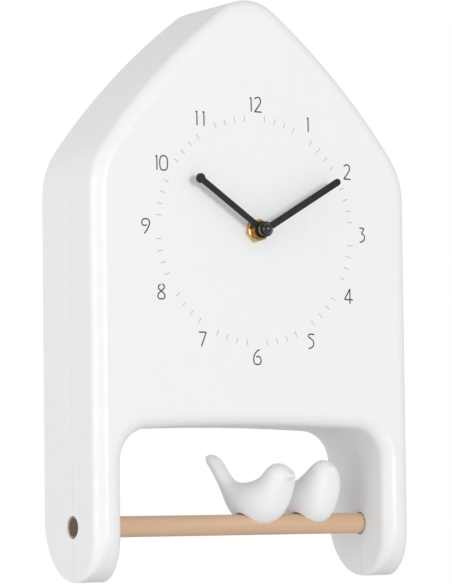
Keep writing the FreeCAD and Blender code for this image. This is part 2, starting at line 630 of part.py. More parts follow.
def hanger_cuts():
    """Seat of the hanger plate, room for the wall screw's head and pilot holes."""
    room = rounded_box((-ROOM_HALF, ROOM_HALF), (PANEL_Y - PAST, DEPTH + PAST),
                       (HANGER_HEIGHT - ROOM_BELOW, HANGER_HEIGHT + ROOM_ABOVE), ROOM_CORNER)
    pilots = [rod("y", HANGER_SCREW_RADIUS, PANEL_Y - PAST, DEPTH, x, HANGER_SCREW_Z)
              for x in (-HANGER_SCREW_X, HANGER_SCREW_X)]
    return [hanger_blank(DEPTH + PAST), room] + pilots


def hanger_plate():
    """Steel plate with the keyhole and two screw holes."""
    entry = rod("y", KEYHOLE_RADIUS, PANEL_Y, DEPTH + PAST, 0, HANGER_HEIGHT)
    top = rod("y", KEYHOLE_SLOT_RADIUS, PANEL_Y, DEPTH + PAST, 0, HANGER_HEIGHT + KEYHOLE_RISE)
    slot = box((-KEYHOLE_SLOT_RADIUS, KEYHOLE_SLOT_RADIUS), (PANEL_Y, DEPTH + PAST),
               (HANGER_HEIGHT, HANGER_HEIGHT + KEYHOLE_RISE))
    holes = [rod("y", HANGER_HEAD_RADIUS, PANEL_Y, DEPTH + PAST, x, HANGER_SCREW_Z)
             for x in (-HANGER_SCREW_X, HANGER_SCREW_X)]
    return only(hanger_blank(DEPTH).cut([entry, top, slot] + holes))


def hanger_screw(x):
    """Screw whose head lies in the plate and whose shank bites the panel."""
    shank = rod("y", HANGER_SCREW_RADIUS, PANEL_Y - PAST, DEPTH - SINK, x, HANGER_SCREW_Z)
    return shank.fuse(rod("y", HANGER_HEAD_RADIUS, DEPTH - PLATE_THICKNESS, DEPTH - SINK, x, HANGER_SCREW_Z))


def shell_screw(x, z):
    """Case screw with a cross recess."""
    seat = FRONT_DEPTH + POST_FLOOR
    floor = seat + SCREW_SLOT_FLOOR
    wide, narrow = SCREW_SLOT_HALF, SCREW_SLOT_WIDTH / 2
    shank = rod("y", SCREW_RADIUS, seat - SCREW_LENGTH, seat + SINK, x, z)
    head = rod("y", SCREW_HEAD_RADIUS, seat, seat + SCREW_HEAD_HEIGHT, x, z)
    cross = [box((x - a, x + a), (floor, floor + SCREW_HEAD_HEIGHT), (z - b, z + b))
             for a, b in ((wide, narrow), (narrow, wide))]
    return only(shank.fuse(head).cut(cross))


def cone(wide, narrow, ahead, length):
    """Cone frustum on the speaker's axis that opens towards the panel."""
    return Part.makeCone(narrow, wide, length, V(SPEAKER_X, PANEL_Y - ahead, SPEAKER_Z), V(0, 1, 0))


def speaker_frame():
    """Pressed basket: rim against the panel and a cup that carries the magnet."""
    rim = tube(SPEAKER_RADIUS, SPEAKER_RADIUS - SPEAKER_RIM, PANEL_Y - SPEAKER_RIM_DEPTH, PANEL_Y,
               SPEAKER_X, SPEAKER_Z)
    mouth, neck = SPEAKER_RADIUS - BASKET_MOUTH_INSET, SPEAKER_RADIUS - BASKET_FLOOR_INSET
    wall = cone(mouth, neck, BASKET_BACK, BASKET_LENGTH)
    inside = cone(mouth - BASKET_WALL, neck - BASKET_WALL, BASKET_BACK, BASKET_LENGTH)
    floor = tube(neck, BASKET_HOLE, PANEL_Y - BASKET_BACK - BASKET_WALL, PANEL_Y - BASKET_BACK,
                 SPEAKER_X, SPEAKER_Z)
    return only(rim.fuse([wall.cut(inside), floor]))


def speaker_magnet():
    """Ferrite disc behind the basket."""
    back = PANEL_Y - BASKET_BACK - BASKET_WALL
    return rod("y", MAGNET_RADIUS, back - MAGNET_LENGTH, back, SPEAKER_X, SPEAKER_Z)


def speaker_cone():
    """Paper cone with its dust cap, clear of the basket."""
    mouth = SPEAKER_RADIUS - CONE_MOUTH_INSET
    paper = cone(mouth, CONE_NECK, CONE_AHEAD, CONE_LENGTH)
    hollow = cone(mouth - CONE_WALL, CONE_NECK - CONE_WALL, CONE_AHEAD, CONE_LENGTH)
    coil = rod("y", CONE_NECK, PANEL_Y - VOICE_COIL_END - VOICE_COIL_LENGTH, PANEL_Y - VOICE_COIL_END,
               SPEAKER_X, SPEAKER_Z)
    inner_rim = SPEAKER_RADIUS - SPEAKER_RIM
    surround = tube(inner_rim, inner_rim - SURROUND_WIDTH, PANEL_Y - SPEAKER_RIM_DEPTH,
                    PANEL_Y - SURROUND_BACK, SPEAKER_X, SPEAKER_Z)
    return only(paper.cut(hollow).fuse([coil, surround]))


def sound_board():
    """Circuit board of the cuckoo's voice."""
    board = box(BOARD_X, (BOARD_BACK, BOARD_FACE), BOARD_Z)
    holes = [rod("y", BOARD_SCREW_RADIUS, BOARD_BACK - PAST, BOARD_FACE + PAST, x, z) for x, z in BOARD_HOLES]
    return only(board.cut(holes))


def board_screw(x, z):
    """Screw through the board into its post."""
    shank = rod("y", BOARD_SCREW_RADIUS, BOARD_BACK, BOARD_FACE + BOARD_SCREW_BITE, x, z)
    return only(shank.fuse(rod("y", BOARD_HEAD_RADIUS, BOARD_BACK - BOARD_HEAD_HEIGHT, BOARD_BACK, x, z)))


def sound_parts():
    """Circuit components on the inner side of the sound board."""
    y = BOARD_BACK
    chip = box((60, 70), (y - 1.8, y), (-78, -71))
    blob = box((50, 56), (y - 1.2, y), (-70, -64))
    capacitors = [rod("y", 2.5, y - 7, y, x, -48) for x in (66, 73, 80)]
    socket = box((74, 84), (y - 5, y), (-84, -79))
    return [chip, blob] + capacitors + [socket]


def switch_body():
    """Can of the slide switch with the track for its slider."""
    half = SWITCH_TRAVEL / 2 + SWITCH_BODY_WALL
    outer = half + SWITCH_BODY_WALL
    can = box((SWITCH_X - outer, SWITCH_X + outer), (BOARD_FACE, BOARD_FACE + SWITCH_BODY_HEIGHT),
              (SWITCH_Z - SWITCH_BODY_HALF, SWITCH_Z + SWITCH_BODY_HALF))
    track = box((SWITCH_X - half, SWITCH_X + half),
                (BOARD_FACE + SWITCH_TRACK_FLOOR, BOARD_FACE + SWITCH_BODY_HEIGHT + PAST),
                (SWITCH_Z - SWITCH_TRACK_HALF, SWITCH_Z + SWITCH_TRACK_HALF))
    return only(can.cut(track))


def switch_slider():
    """Slider at the left end of its travel."""
    x = SWITCH_X - SWITCH_TRAVEL / 2
    wide, tall = SLIDER_HALF
    return box((x - wide, x + wide), (BOARD_FACE + SWITCH_TRACK_FLOOR + SLIDER_LIFT, DEPTH - KNOB_SINK),
               (SWITCH_Z - tall, SWITCH_Z + tall))


def volume_pot():
    """Body of the volume control."""
    body = rounded_box((VOLUME_X - POT_HALF, VOLUME_X + POT_HALF), (BOARD_FACE, BOARD_FACE + POT_HEIGHT),
                       (VOLUME_Z - POT_HALF, VOLUME_Z + POT_HALF), POT_CORNER)
    return only(body.cut(rod("y", VOLUME_STEM_RADIUS + RUN_CLEARANCE, BOARD_FACE + VOLUME_STEM_FLOOR,
                             BOARD_FACE + POT_HEIGHT + PAST, VOLUME_X, VOLUME_Z)))


def flutes(radius, depth, low, high, centre):
    """Small rods round a knob's rim, to be cut from it."""
    return [rod("y", depth, low, high, *polar(radius, 360.0 * k / FLUTES, centre)) for k in range(FLUTES)]


def volume_knob():
    """Knurled knob with its stem and a screwdriver slot."""
    low = BOARD_FACE + VOLUME_LIFT
    knob = rod("y", VOLUME_RADIUS, low, DEPTH - KNOB_SINK, VOLUME_X, VOLUME_Z)
    stem = rod("y", VOLUME_STEM_RADIUS, BOARD_FACE + VOLUME_STEM_FLOOR + SINK, low + SINK, VOLUME_X, VOLUME_Z)
    wide, tall = VOLUME_SLOT_HALF
    slot = box((VOLUME_X - wide, VOLUME_X + wide), (DEPTH - KNOB_SINK - VOLUME_SLOT_DEPTH, DEPTH),
               (VOLUME_Z - tall, VOLUME_Z + tall))
    grip = flutes(VOLUME_RADIUS + LIP_GAP, BLEND, low + PAST, DEPTH, (VOLUME_X, VOLUME_Z))
    return only(knob.fuse(stem).cut([slot] + grip))


# ================================================================ perch and birds
def perch_rod():
    """Wooden rod, its ends just inside the outer side faces."""
    reach = HALF_WIDTH - ROD_RECESS
    stick = rod("x", ROD_RADIUS, -reach, reach, FRONT_DEPTH, ROD_Z)
    ends = [e for e in stick.Edges if e.Curve.TypeId.endswith("Circle")]
    return only(stick.makeChamfer(ROD_CHAMFER, ends))


def bird_section(upper, lower, half_width, turn):
    """Closed smooth ring through an ellipse on the line from lower to upper, turned about the neck."""
    centre = V((upper[0] + lower[0]) / 2, 0, (upper[1] + lower[1]) / 2)
    half = V((upper[0] - lower[0]) / 2, 0, (upper[1] - lower[1]) / 2)
    ring = []
    for index in range(SECTION_POINTS):
        around = 2 * math.pi * index / SECTION_POINTS
        ring.append(centre + half * math.cos(around) + V(0, half_width * math.sin(around), 0))
    curve = Part.BSplineCurve()
    curve.interpolate(ring, PeriodicFlag=True)
    wire = Part.Wire([curve.toShape()])
    wire.rotate(V(NECK, 0, 0), V(0, 0, 1), -turn)
    return wire


def bird(sections, x, heading):
    """Bird in side view, turned to its heading and set astride the rod."""
    body = Part.makeLoft([bird_section(*row) for row in sections], True, False)
    body.rotate(V(0, 0, 0), V(0, 0, 1), -heading)
    body.translate(V(x, FRONT_DEPTH, ROD_Z))
    groove = rod("x", ROD_RADIUS, x - 50, x + 50, FRONT_DEPTH, ROD_Z)
    gap = rod("x", ROD_RADIUS - SADDLE_GAP, x - 50, x + 50, FRONT_DEPTH, ROD_Z + 2 * SADDLE_GAP)
    return only(body.cut([groove, gap]))


# ================================================================ hands and centre stack
def hex_nut():
    """Hex nut with its front corners chamfered and a round collar in front."""
    corners = [V(x, 0, z) for x, z in (polar(NUT_RADIUS, NUT_TURN + 60 * k) for k in range(7))]
    nut = Part.Face(Part.makePolygon(corners)).extrude(V(0, -NUT_THICKNESS, 0))
    growth = NUT_CHAMFER / NUT_CHAMFER_RUN
    crown = Part.makeCone(NUT_RADIUS - NUT_CHAMFER, NUT_RADIUS - NUT_CHAMFER + growth * NUT_THICKNESS,
                          NUT_THICKNESS, V(0, -NUT_THICKNESS, 0), V(0, 1, 0))
    front = -NUT_THICKNESS - COLLAR_LENGTH
    collar = rod("y", COLLAR_RADIUS, front, -NUT_THICKNESS)
    return only(nut.common(crown).fuse(collar).cut(rod("y", BUSH_RADIUS, front - PAST, PAST)))


def centre_bush():
    """Bush through the front face, with a flange inside the movement."""
    seat = MOVEMENT_Y + MOVEMENT_WALL
    outer = rod("y", BUSH_RADIUS, -BUSH_LENGTH, seat)
    flange = rod("y", BUSH_FLANGE_RADIUS, seat, seat + BUSH_FLANGE_THICKNESS)
    return only(outer.fuse(flange).cut(rod("y", HOUR_PIPE_RADIUS + RUN_CLEARANCE, -BUSH_LENGTH - PAST,
                                           seat + BUSH_FLANGE_THICKNESS + PAST)))


def gasket():
    """Rubber ring between the front wall and the movement."""
    return tube(GASKET_RADIUS, BUSH_RADIUS + FIT, WALL, MOVEMENT_Y)


def hand_plate(front, width, length, boss_radius, bore, tip_radius):
    """Flat hand drawn towards twelve, its front face ahead of the case's front face."""
    low, high = -front, -front + HAND_THICKNESS
    bar = box((-width / 2, width / 2), (low, high), (0, length))
    tip = rod("y", tip_radius, low, high, 0, length)
    boss = rod("y", boss_radius, low, high)
    return only(bar.fuse([tip, boss]).cut(rod("y", bore, low - PAST, high + PAST)))


def hour_hand():
    """Hour hand at its resting angle."""
    plate = hand_plate(HOUR_HAND_FACE, HOUR_WIDTH, HOUR_LENGTH, HOUR_BOSS_RADIUS,
                       HOUR_PIPE_RADIUS, HOUR_TIP_RADIUS)
    return turned(plate, HOUR_ANGLE)


def hour_collet():
    """Ring on the hour pipe in front of the hour hand."""
    return tube(COLLET_RADIUS, HOUR_PIPE_RADIUS, -HOUR_HAND_FACE - COLLET_LENGTH, -HOUR_HAND_FACE)


def minute_hand():
    """Minute hand at its resting angle."""
    plate = hand_plate(MINUTE_HAND_FACE, MINUTE_WIDTH, MINUTE_LENGTH - MINUTE_WIDTH / 2,
                       MINUTE_BOSS_RADIUS, MINUTE_SHAFT_RADIUS, MINUTE_WIDTH / 2)
    return turned(plate, MINUTE_ANGLE)


def cap_nut():
    """Dome nut: a short cylinder with a round top, blind-bored for the shaft's end."""
    rise = CAP_HEIGHT - CAP_RIM
    sphere_radius = (CAP_RADIUS ** 2 + rise ** 2) / (2 * rise)
    top = MINUTE_HAND_FACE + CAP_HEIGHT
    ball = Part.makeSphere(sphere_radius, V(0, -top + sphere_radius, 0))
    dome = rod("y", CAP_RADIUS, -top, -MINUTE_HAND_FACE).common(ball)
    return only(dome.cut(rod("y", MINUTE_SHAFT_RADIUS, -MINUTE_HAND_FACE - SHAFT_IN_CAP,
                             -MINUTE_HAND_FACE + PAST)))


# ================================================================ gears
def involute(angle):
    """Involute function of a pressure angle."""
    return math.tan(angle) - angle


def gear(teeth, module, low, high, centre, phase=0.0, bore=0.0):
    """Spur gear along y with involute flanks; phase turns the first tooth from +X to +Z."""
    pressure = math.radians(PRESSURE_ANGLE)
    pitch = module * teeth / 2
    base = pitch * math.cos(pressure)
    tip = pitch + ADDENDUM * module
    root = pitch - DEDENDUM * module
    half_tooth = (math.pi * module / 2 - GEAR_BACKLASH) / (2 * pitch)

    def half_angle(radius):
        if radius <= base:
            return half_tooth + involute(pressure)
        return half_tooth + involute(pressure) - involute(math.acos(base / radius))

    flank = [root, pitch - ADDENDUM * module / 2, pitch, tip]
    points = []
    for tooth in range(teeth):
        middle = math.radians(phase) + 2 * math.pi * tooth / teeth
        rising = [(radius, middle - half_angle(radius)) for radius in flank]
        falling = [(radius, middle + half_angle(radius)) for radius in reversed(flank)]
        for radius, angle in rising + falling:
            points.append(V(centre[0] + radius * math.cos(angle), low, centre[1] + radius * math.sin(angle)))
    wheel = Part.Face(Part.makePolygon(points + points[:1])).extrude(V(0, high - low, 0))
    if bore:
        wheel = wheel.cut(rod("y", bore, low - PAST, high + PAST, *centre))
    return only(wheel)


def bearing(from_centre, to_centre):
    """Direction in degrees from one arbor to another."""
    return math.degrees(math.atan2(to_centre[1] - from_centre[1], to_centre[0] - from_centre[0]))


def mesh_phase(driver_phase, driver_teeth, driver_centre, teeth, centre):
    """Phase of a gear so that a gap of it faces a tooth of its driver."""
    towards = bearing(driver_centre, centre)
    offset = (towards - driver_phase) * driver_teeth / 360.0
    return towards + 180 + (offset + 0.5) * 360.0 / teeth


def distance(module, first, second):
    """Distance between the arbors of two gears in mesh."""
    return module * (first + second) / 2


# ================================================================ quartz movement
HUB = (0.0, 0.0)
MOTION_AT = polar(distance(CANNON_MODULE, CANNON_TEETH, MOTION_TEETH), MOTION_BEARING)
SETTING_AT = polar(distance(CANNON_MODULE, MOTION_TEETH, SETTING_TEETH), SETTING_BEARING, MOTION_AT)
THIRD_AT = polar(distance(CENTRE_MODULE, CENTRE_TEETH, THIRD_PINION), THIRD_BEARING)
FOURTH_AT = polar(distance(THIRD_MODULE, THIRD_TEETH, FOURTH_PINION), FOURTH_BEARING, THIRD_AT)
SECOND_AT = polar(distance(TRAIN_MODULE, FOURTH_TEETH, SECOND_PINION), SECOND_BEARING, FOURTH_AT)
ROTOR_AT = polar(distance(TRAIN_MODULE, SECOND_TEETH, ROTOR_PINION), ROTOR_BEARING, SECOND_AT)
HOUR_MODULE = 2 * distance(CANNON_MODULE, CANNON_TEETH, MOTION_TEETH) / (MOTION_PINION + HOUR_TEETH)
HOUR_WHEEL_Y = CASE_FRONT + 0.7
MOTION_Y = HOUR_WHEEL_Y + 1.6
CENTRE_Y = MOTION_Y + 2.5
THIRD_Y = CENTRE_Y + 2.0
FOURTH_Y = THIRD_Y + 2.0
SECOND_Y = FOURTH_Y + 1.4
STATOR_Y = CENTRE_Y + 0.5
BAY_X = (BAY_WALL_X, MOVEMENT_HALF - MOVEMENT_WALL)
CELL_BAY_Y = CASE_FRONT + KNOB_CLEARANCE + CELL_RADIUS
MOTION_PHASE = mesh_phase(0.0, CANNON_TEETH, HUB, MOTION_TEETH, MOTION_AT)
SETTING_PHASE = mesh_phase(MOTION_PHASE, MOTION_TEETH, MOTION_AT, SETTING_TEETH, SETTING_AT)


def staff(centre, room=0.0, radius=STAFF_RADIUS):
    """Arbor between blind holes in the case and the cover; room lengthens it for the holes."""
    return rod("y", radius, MOVEMENT_Y + BEARING_DEPTH - room, MOVEMENT_BACK - BEARING_DEPTH + room, *centre)


def staff_holes():
    """Bearing holes of every arbor."""
    holes = [staff(at, END_SHAKE, STAFF_RADIUS + RUN_CLEARANCE)
             for at in (THIRD_AT, FOURTH_AT, SECOND_AT, ROTOR_AT)]
    holes.append(rod("y", SETTING_STAFF_RADIUS + RUN_CLEARANCE, MOVEMENT_Y + BEARING_DEPTH - END_SHAKE,
                     MOVEMENT_BACK + PAST, *SETTING_AT))
    holes.append(rod("y", PIVOT_RADIUS + RUN_CLEARANCE, COVER_Y - PAST,
                     MOVEMENT_BACK - BEARING_DEPTH + END_SHAKE))
    return holes


def movement_case():
    """Front half of the movement, open to the back, with studs for the motion wheel and the board."""
    half, wall = MOVEMENT_HALF, MOVEMENT_WALL
    block = rounded_box((-half, half), (MOVEMENT_Y, COVER_Y), (-half, half), MOVEMENT_CORNER)
    inside = (-half + wall, half - wall)
    train = box((-half + wall, BAY_WALL_X - wall), (CASE_FRONT, COVER_Y + PAST), inside)
    bay = box(BAY_X, (CASE_FRONT, COVER_Y + PAST), inside)
    studs = [rod("y", MOTION_STUD_RADIUS, CASE_FRONT - SINK, MOTION_Y + 2 * WHEEL_THICKNESS, *MOTION_AT)]
    for x in (LOGIC_X[0] + LOGIC_STUD_INSET, LOGIC_X[1] - LOGIC_STUD_INSET):
        studs.append(rod("y", LOGIC_STUD_RADIUS, CASE_FRONT - SINK, FOURTH_Y, x, sum(LOGIC_Z) / 2))
    shell = block.cut([train, bay]).fuse(studs)
    return only(shell.cut([rod("y", BUSH_RADIUS, 0, CASE_FRONT + RUN_CLEARANCE)] + staff_holes()))


def movement_cover():
    """Cover over the gear train; the cell's bay stays open."""
    plate = box((-MOVEMENT_HALF, BAY_WALL_X), (COVER_Y, MOVEMENT_BACK), (-MOVEMENT_HALF, MOVEMENT_HALF))
    return only(plate.cut(staff_holes()))


def pinion(teeth, module, wheel_y, centre, phase):
    """Pinion that drives the wheel at a depth, a little wider than that wheel."""
    low = wheel_y - PINION_LIP
    return gear(teeth, module, low, low + PINION_WIDTH, centre, phase)


def minute_arbor():
    """Shaft that carries the minute hand, with the cannon pinion cut on it."""
    step = CENTRE_Y + PINION_WIDTH
    shaft = rod("y", MINUTE_SHAFT_RADIUS, -MINUTE_HAND_FACE - SHAFT_IN_CAP, step)
    pivot = rod("y", PIVOT_RADIUS, step, MOVEMENT_BACK - BEARING_DEPTH)
    return only(shaft.fuse([pivot, pinion(CANNON_TEETH, CANNON_MODULE, MOTION_Y, HUB, 0.0)]))


def motion_wheel():
    """Wheel and pinion between the cannon pinion and the hour wheel."""
    wheel = gear(MOTION_TEETH, CANNON_MODULE, MOTION_Y, MOTION_Y + WHEEL_THICKNESS, MOTION_AT, MOTION_PHASE)
    small = gear(MOTION_PINION, HOUR_MODULE, HOUR_WHEEL_Y - 2 * PINION_LIP, MOTION_Y, MOTION_AT)
    bore = rod("y", MOTION_STUD_RADIUS + RUN_CLEARANCE, CASE_FRONT, MOTION_Y + PAST, *MOTION_AT)
    return only(wheel.fuse(small).cut(bore))


def hour_wheel():
    """Hour wheel with the pipe that carries the hour hand."""
    phase = mesh_phase(0.0, MOTION_PINION, MOTION_AT, HOUR_TEETH, HUB)
    front = -HOUR_HAND_FACE - COLLET_LENGTH
    wheel = gear(HOUR_TEETH, HOUR_MODULE, HOUR_WHEEL_Y, HOUR_WHEEL_Y + WHEEL_THICKNESS, HUB, phase)
    pipe = rod("y", HOUR_PIPE_RADIUS, front, HOUR_WHEEL_Y)
    return only(wheel.fuse(pipe).cut(rod("y", MINUTE_SHAFT_RADIUS + RUN_CLEARANCE, front - PAST, MOTION_Y)))


def setting_knob():
    """Knurled knob behind the cover, its staff and the pinion that turns the motion wheel."""
    low = MOVEMENT_BACK + SETTING_KNOB_GAP
    drive = pinion(SETTING_TEETH, CANNON_MODULE, MOTION_Y, SETTING_AT, SETTING_PHASE)
    shaft = rod("y", SETTING_STAFF_RADIUS, MOVEMENT_Y + BEARING_DEPTH, low + SINK, *SETTING_AT)
    knob = rod("y", SETTING_KNOB_RADIUS, low, low + SETTING_KNOB_LENGTH, *SETTING_AT)
    grip = flutes(SETTING_KNOB_RADIUS + FIT, BLEND, MOVEMENT_BACK, low + SETTING_KNOB_LENGTH + PAST,
                  SETTING_AT)
    return only(shaft.fuse([drive, knob]).cut(grip))


def going_train():
    """The four wheels between the rotor and the hands, and the rotor, all in mesh."""
    def wheel_on(teeth, module, low, centre):
        return gear(teeth, module, low, low + WHEEL_THICKNESS, centre)

    centre = gear(CENTRE_TEETH, CENTRE_MODULE, CENTRE_Y, CENTRE_Y + WHEEL_THICKNESS, HUB, 0.0,
                  MINUTE_SHAFT_RADIUS + RUN_CLEARANCE)
    third_phase = mesh_phase(0.0, CENTRE_TEETH, HUB, THIRD_PINION, THIRD_AT)
    third = staff(THIRD_AT).fuse([pinion(THIRD_PINION, CENTRE_MODULE, CENTRE_Y, THIRD_AT, third_phase),
                                  wheel_on(THIRD_TEETH, THIRD_MODULE, THIRD_Y, THIRD_AT)])
    fourth_phase = mesh_phase(0.0, THIRD_TEETH, THIRD_AT, FOURTH_PINION, FOURTH_AT)
    fourth = staff(FOURTH_AT).fuse([pinion(FOURTH_PINION, THIRD_MODULE, THIRD_Y, FOURTH_AT, fourth_phase),
                                    wheel_on(FOURTH_TEETH, TRAIN_MODULE, FOURTH_Y, FOURTH_AT)])
    second_phase = mesh_phase(0.0, FOURTH_TEETH, FOURTH_AT, SECOND_PINION, SECOND_AT)
    second = staff(SECOND_AT).fuse([
        gear(SECOND_PINION, TRAIN_MODULE, FOURTH_Y - PINION_LIP, FOURTH_Y + WHEEL_THICKNESS + PINION_LIP,
             SECOND_AT, second_phase),
        wheel_on(SECOND_TEETH, TRAIN_MODULE, SECOND_Y, SECOND_AT)])
    rotor_phase = mesh_phase(0.0, SECOND_TEETH, SECOND_AT, ROTOR_PINION, ROTOR_AT)
    rotor = staff(ROTOR_AT).fuse([
        gear(ROTOR_PINION, TRAIN_MODULE, SECOND_Y - PINION_LIP, SECOND_Y + WHEEL_THICKNESS + PINION_LIP,
             ROTOR_AT, rotor_phase),
        rod("y", ROTOR_RADIUS, STATOR_Y - ROTOR_AHEAD, STATOR_Y + ROTOR_BEHIND, *ROTOR_AT)])
    wheels = {"centre_wheel": centre, "third_wheel": third, "fourth_wheel": fourth,
              "second_wheel": second, "rotor": rotor}
    return {name: only(wheel) for name, wheel in wheels.items()}


def stator_core(x):
    """Iron strip through the coil."""
    z = ROTOR_AT[1]
    return box(x, (STATOR_Y, STATOR_Y + STATOR_THICKNESS), (z - STATOR_CORE_HALF, z + STATOR_CORE_HALF))


def stator():
    """Iron plate round the rotor with the strip that runs through the coil."""
    z = ROTOR_AT[1]
    high = STATOR_Y + STATOR_THICKNESS
    plate = box((STATOR_LEFT, ROTOR_AT[0] + STATOR_RIM), (STATOR_Y, high), (z - STATOR_HALF, z + STATOR_HALF))
    gap = rod("y", ROTOR_RADIUS + ROTOR_GAP, STATOR_Y - PAST, high + PAST, *ROTOR_AT)
    return only(plate.fuse(stator_core(STATOR_CORE_X)).cut(gap))


def coil_rod(radius, low, high):
    """Cylinder on the coil's axis."""
    return rod("x", radius, low, high, STATOR_Y + STATOR_THICKNESS / 2, ROTOR_AT[1])


def coil_bobbin():
    """Spool on the stator's strip."""
    low, high = COIL_X
    ends = [coil_rod(COIL_FLANGE_RADIUS, low - COIL_FLANGE_THICKNESS, low),
            coil_rod(COIL_FLANGE_RADIUS, high, high + COIL_FLANGE_THICKNESS)]
    return only(coil_rod(COIL_CORE_RADIUS, low, high).fuse(ends).cut(stator_core((low - PAST, high + PAST))))


def coil_winding():
    """Copper on the spool."""
    low, high = COIL_X
    return only(coil_rod(COIL_RADIUS, low, high).cut(coil_rod(COIL_CORE_RADIUS, low - PAST, high + PAST)))


def logic_board():
    """Board of the movement with the drop of resin over its chip."""
    top = FOURTH_Y + LOGIC_THICKNESS
    chip = rod("y", CHIP_RADIUS, top, top + LOGIC_THICKNESS, CHIP_X, sum(LOGIC_Z) / 2)
    return only(box(LOGIC_X, (FOURTH_Y, top), LOGIC_Z).fuse(chip))


def quartz_crystal():
    """Crystal can lying on the board."""
    return rod("x", CRYSTAL_RADIUS, *CRYSTAL_X, FOURTH_Y + LOGIC_THICKNESS + CRYSTAL_RADIUS, sum(LOGIC_Z) / 2)


def cell(axis, y, other):
    """AA cell, its raised end towards the positive side of its axis."""
    half = CELL_LENGTH / 2
    place = (y, other) if axis == "x" else (other, y)
    can = rod(axis, CELL_RADIUS, -half, half - CELL_NUB_LENGTH, *place)
    nub = rod(axis, CELL_NUB_RADIUS, half - CELL_NUB_LENGTH, half, *place)
    return only(can.fuse(nub))


def movement_contacts():
    """Plate at the cell's raised end, plate and spring at its flat end."""
    half, inner = CELL_LENGTH / 2, MOVEMENT_HALF - MOVEMENT_WALL
    face = inner - CONTACT_THICKNESS
    x = (MOVEMENT_CELL_X - CONTACT_HALF, MOVEMENT_CELL_X + CONTACT_HALF)
    y = (CELL_BAY_Y - CONTACT_HALF, CELL_BAY_Y + CONTACT_HALF)
    top = box(x, y, (face, inner)).fuse(rod("z", BUTTON_RADIUS, half, face, MOVEMENT_CELL_X, CELL_BAY_Y))
    low = box(x, y, (-inner, -face)).fuse(rod("z", SPRING_RADIUS, -face, -half, MOVEMENT_CELL_X, CELL_BAY_Y))
    return [only(top), only(low)]


def sound_contacts():
    """Contact plates and springs at both ends of the two cells in the tub."""
    half, face = CELL_LENGTH / 2, TUB_X - CONTACT_THICKNESS
    y = (CELL_Y - CONTACT_HALF, CELL_Y + CONTACT_HALF)
    pieces = []
    for z in CELL_ROWS:
        for side, radius in ((-1, SPRING_RADIUS), (1, SOUND_BUTTON_RADIUS)):
            plate = box(sorted((side * TUB_X, side * face)), y, (z - CONTACT_HALF, z + CONTACT_HALF))
            ends = sorted((side * half, side * face))
            pieces.append(only(plate.fuse(rod("x", radius, ends[0], ends[1], CELL_Y, z))))
    return pieces


# ================================================================ wires
def wire(points, radius):
    """Tube along straight runs joined by tangent arcs, each as large as its runs allow."""
    points = [V(*point) for point in points]
    edges, start = [], points[0]
    for before, corner, after in zip(points, points[1:], points[2:]):
        into, out = (corner - before).normalize(), (after - corner).normalize()
        trim = 0.45 * min((corner - before).Length, (after - corner).Length)
        first, last = corner - into * trim, corner + out * trim
        half_turn = into.getAngle(out) / 2
        inward = (out - into).normalize()
        bend = trim / math.tan(half_turn)
        middle = corner + inward * (bend / math.cos(half_turn) - bend)
        edges += [Part.LineSegment(start, first).toShape(), Part.Arc(first, middle, last).toShape()]
        start = last
    edges.append(Part.LineSegment(start, points[-1]).toShape())
    path = Part.Wire(edges)
    along = (points[1] - points[0]).normalize()
    profile = Part.Wire([Part.makeCircle(radius, points[0], along)])
    return only(path.makePipeShell([profile], True, True))


def speaker_leads():
    """Pair of wires from the speaker to the board, as chosen points."""
    return wire([(SPEAKER_X + 13, PANEL_Y - 10, SPEAKER_Z), (SPEAKER_X + 13, PANEL_Y - 16, SPEAKER_Z),
                 (-46, LEAD_Y + 2, -54), (-28, LEAD_Y, -44), (-8, LEAD_Y - 2, -47), (14, LEAD_Y + 1, -44),
                 (34, LEAD_Y, -48), (49, LEAD_Y + 1, -60), (53, BOARD_BACK - 6, -67),
                 (53, BOARD_BACK - 1.2, -67)], LEAD_RADIUS)


def battery_leads():
    """Pair of wires from the tub to the board."""
    x = TUB_X + WELL_WALL
    return wire([(x, CELL_Y - 4, -78), (x + 4, CELL_Y - 4, -78), (x + 9, LEAD_Y + 5, -81),
                 (x + 15, LEAD_Y + 2, -84), (x + 22, LEAD_Y + 2, -83), (58, BOARD_BACK - 6, -82),
                 (58, BOARD_BACK, -82)], LEAD_RADIUS)


def strike_leads():
    """Pair of wires from the movement to the board."""
    bottom = -MOVEMENT_HALF
    return wire([(2, MOVEMENT_Y + 11, bottom), (2, MOVEMENT_Y + 11, bottom - 6),
                 (8, MOVEMENT_Y + 15, bottom - 13), (24, LEAD_Y - 10, -47), (42, LEAD_Y - 6, -52),
                 (60, LEAD_Y - 1, -58), (74, BOARD_BACK - 5, -66), (79, BOARD_BACK - 2.5, -72),
                 (79, BOARD_BACK - 2.5, -79)], LEAD_RADIUS)


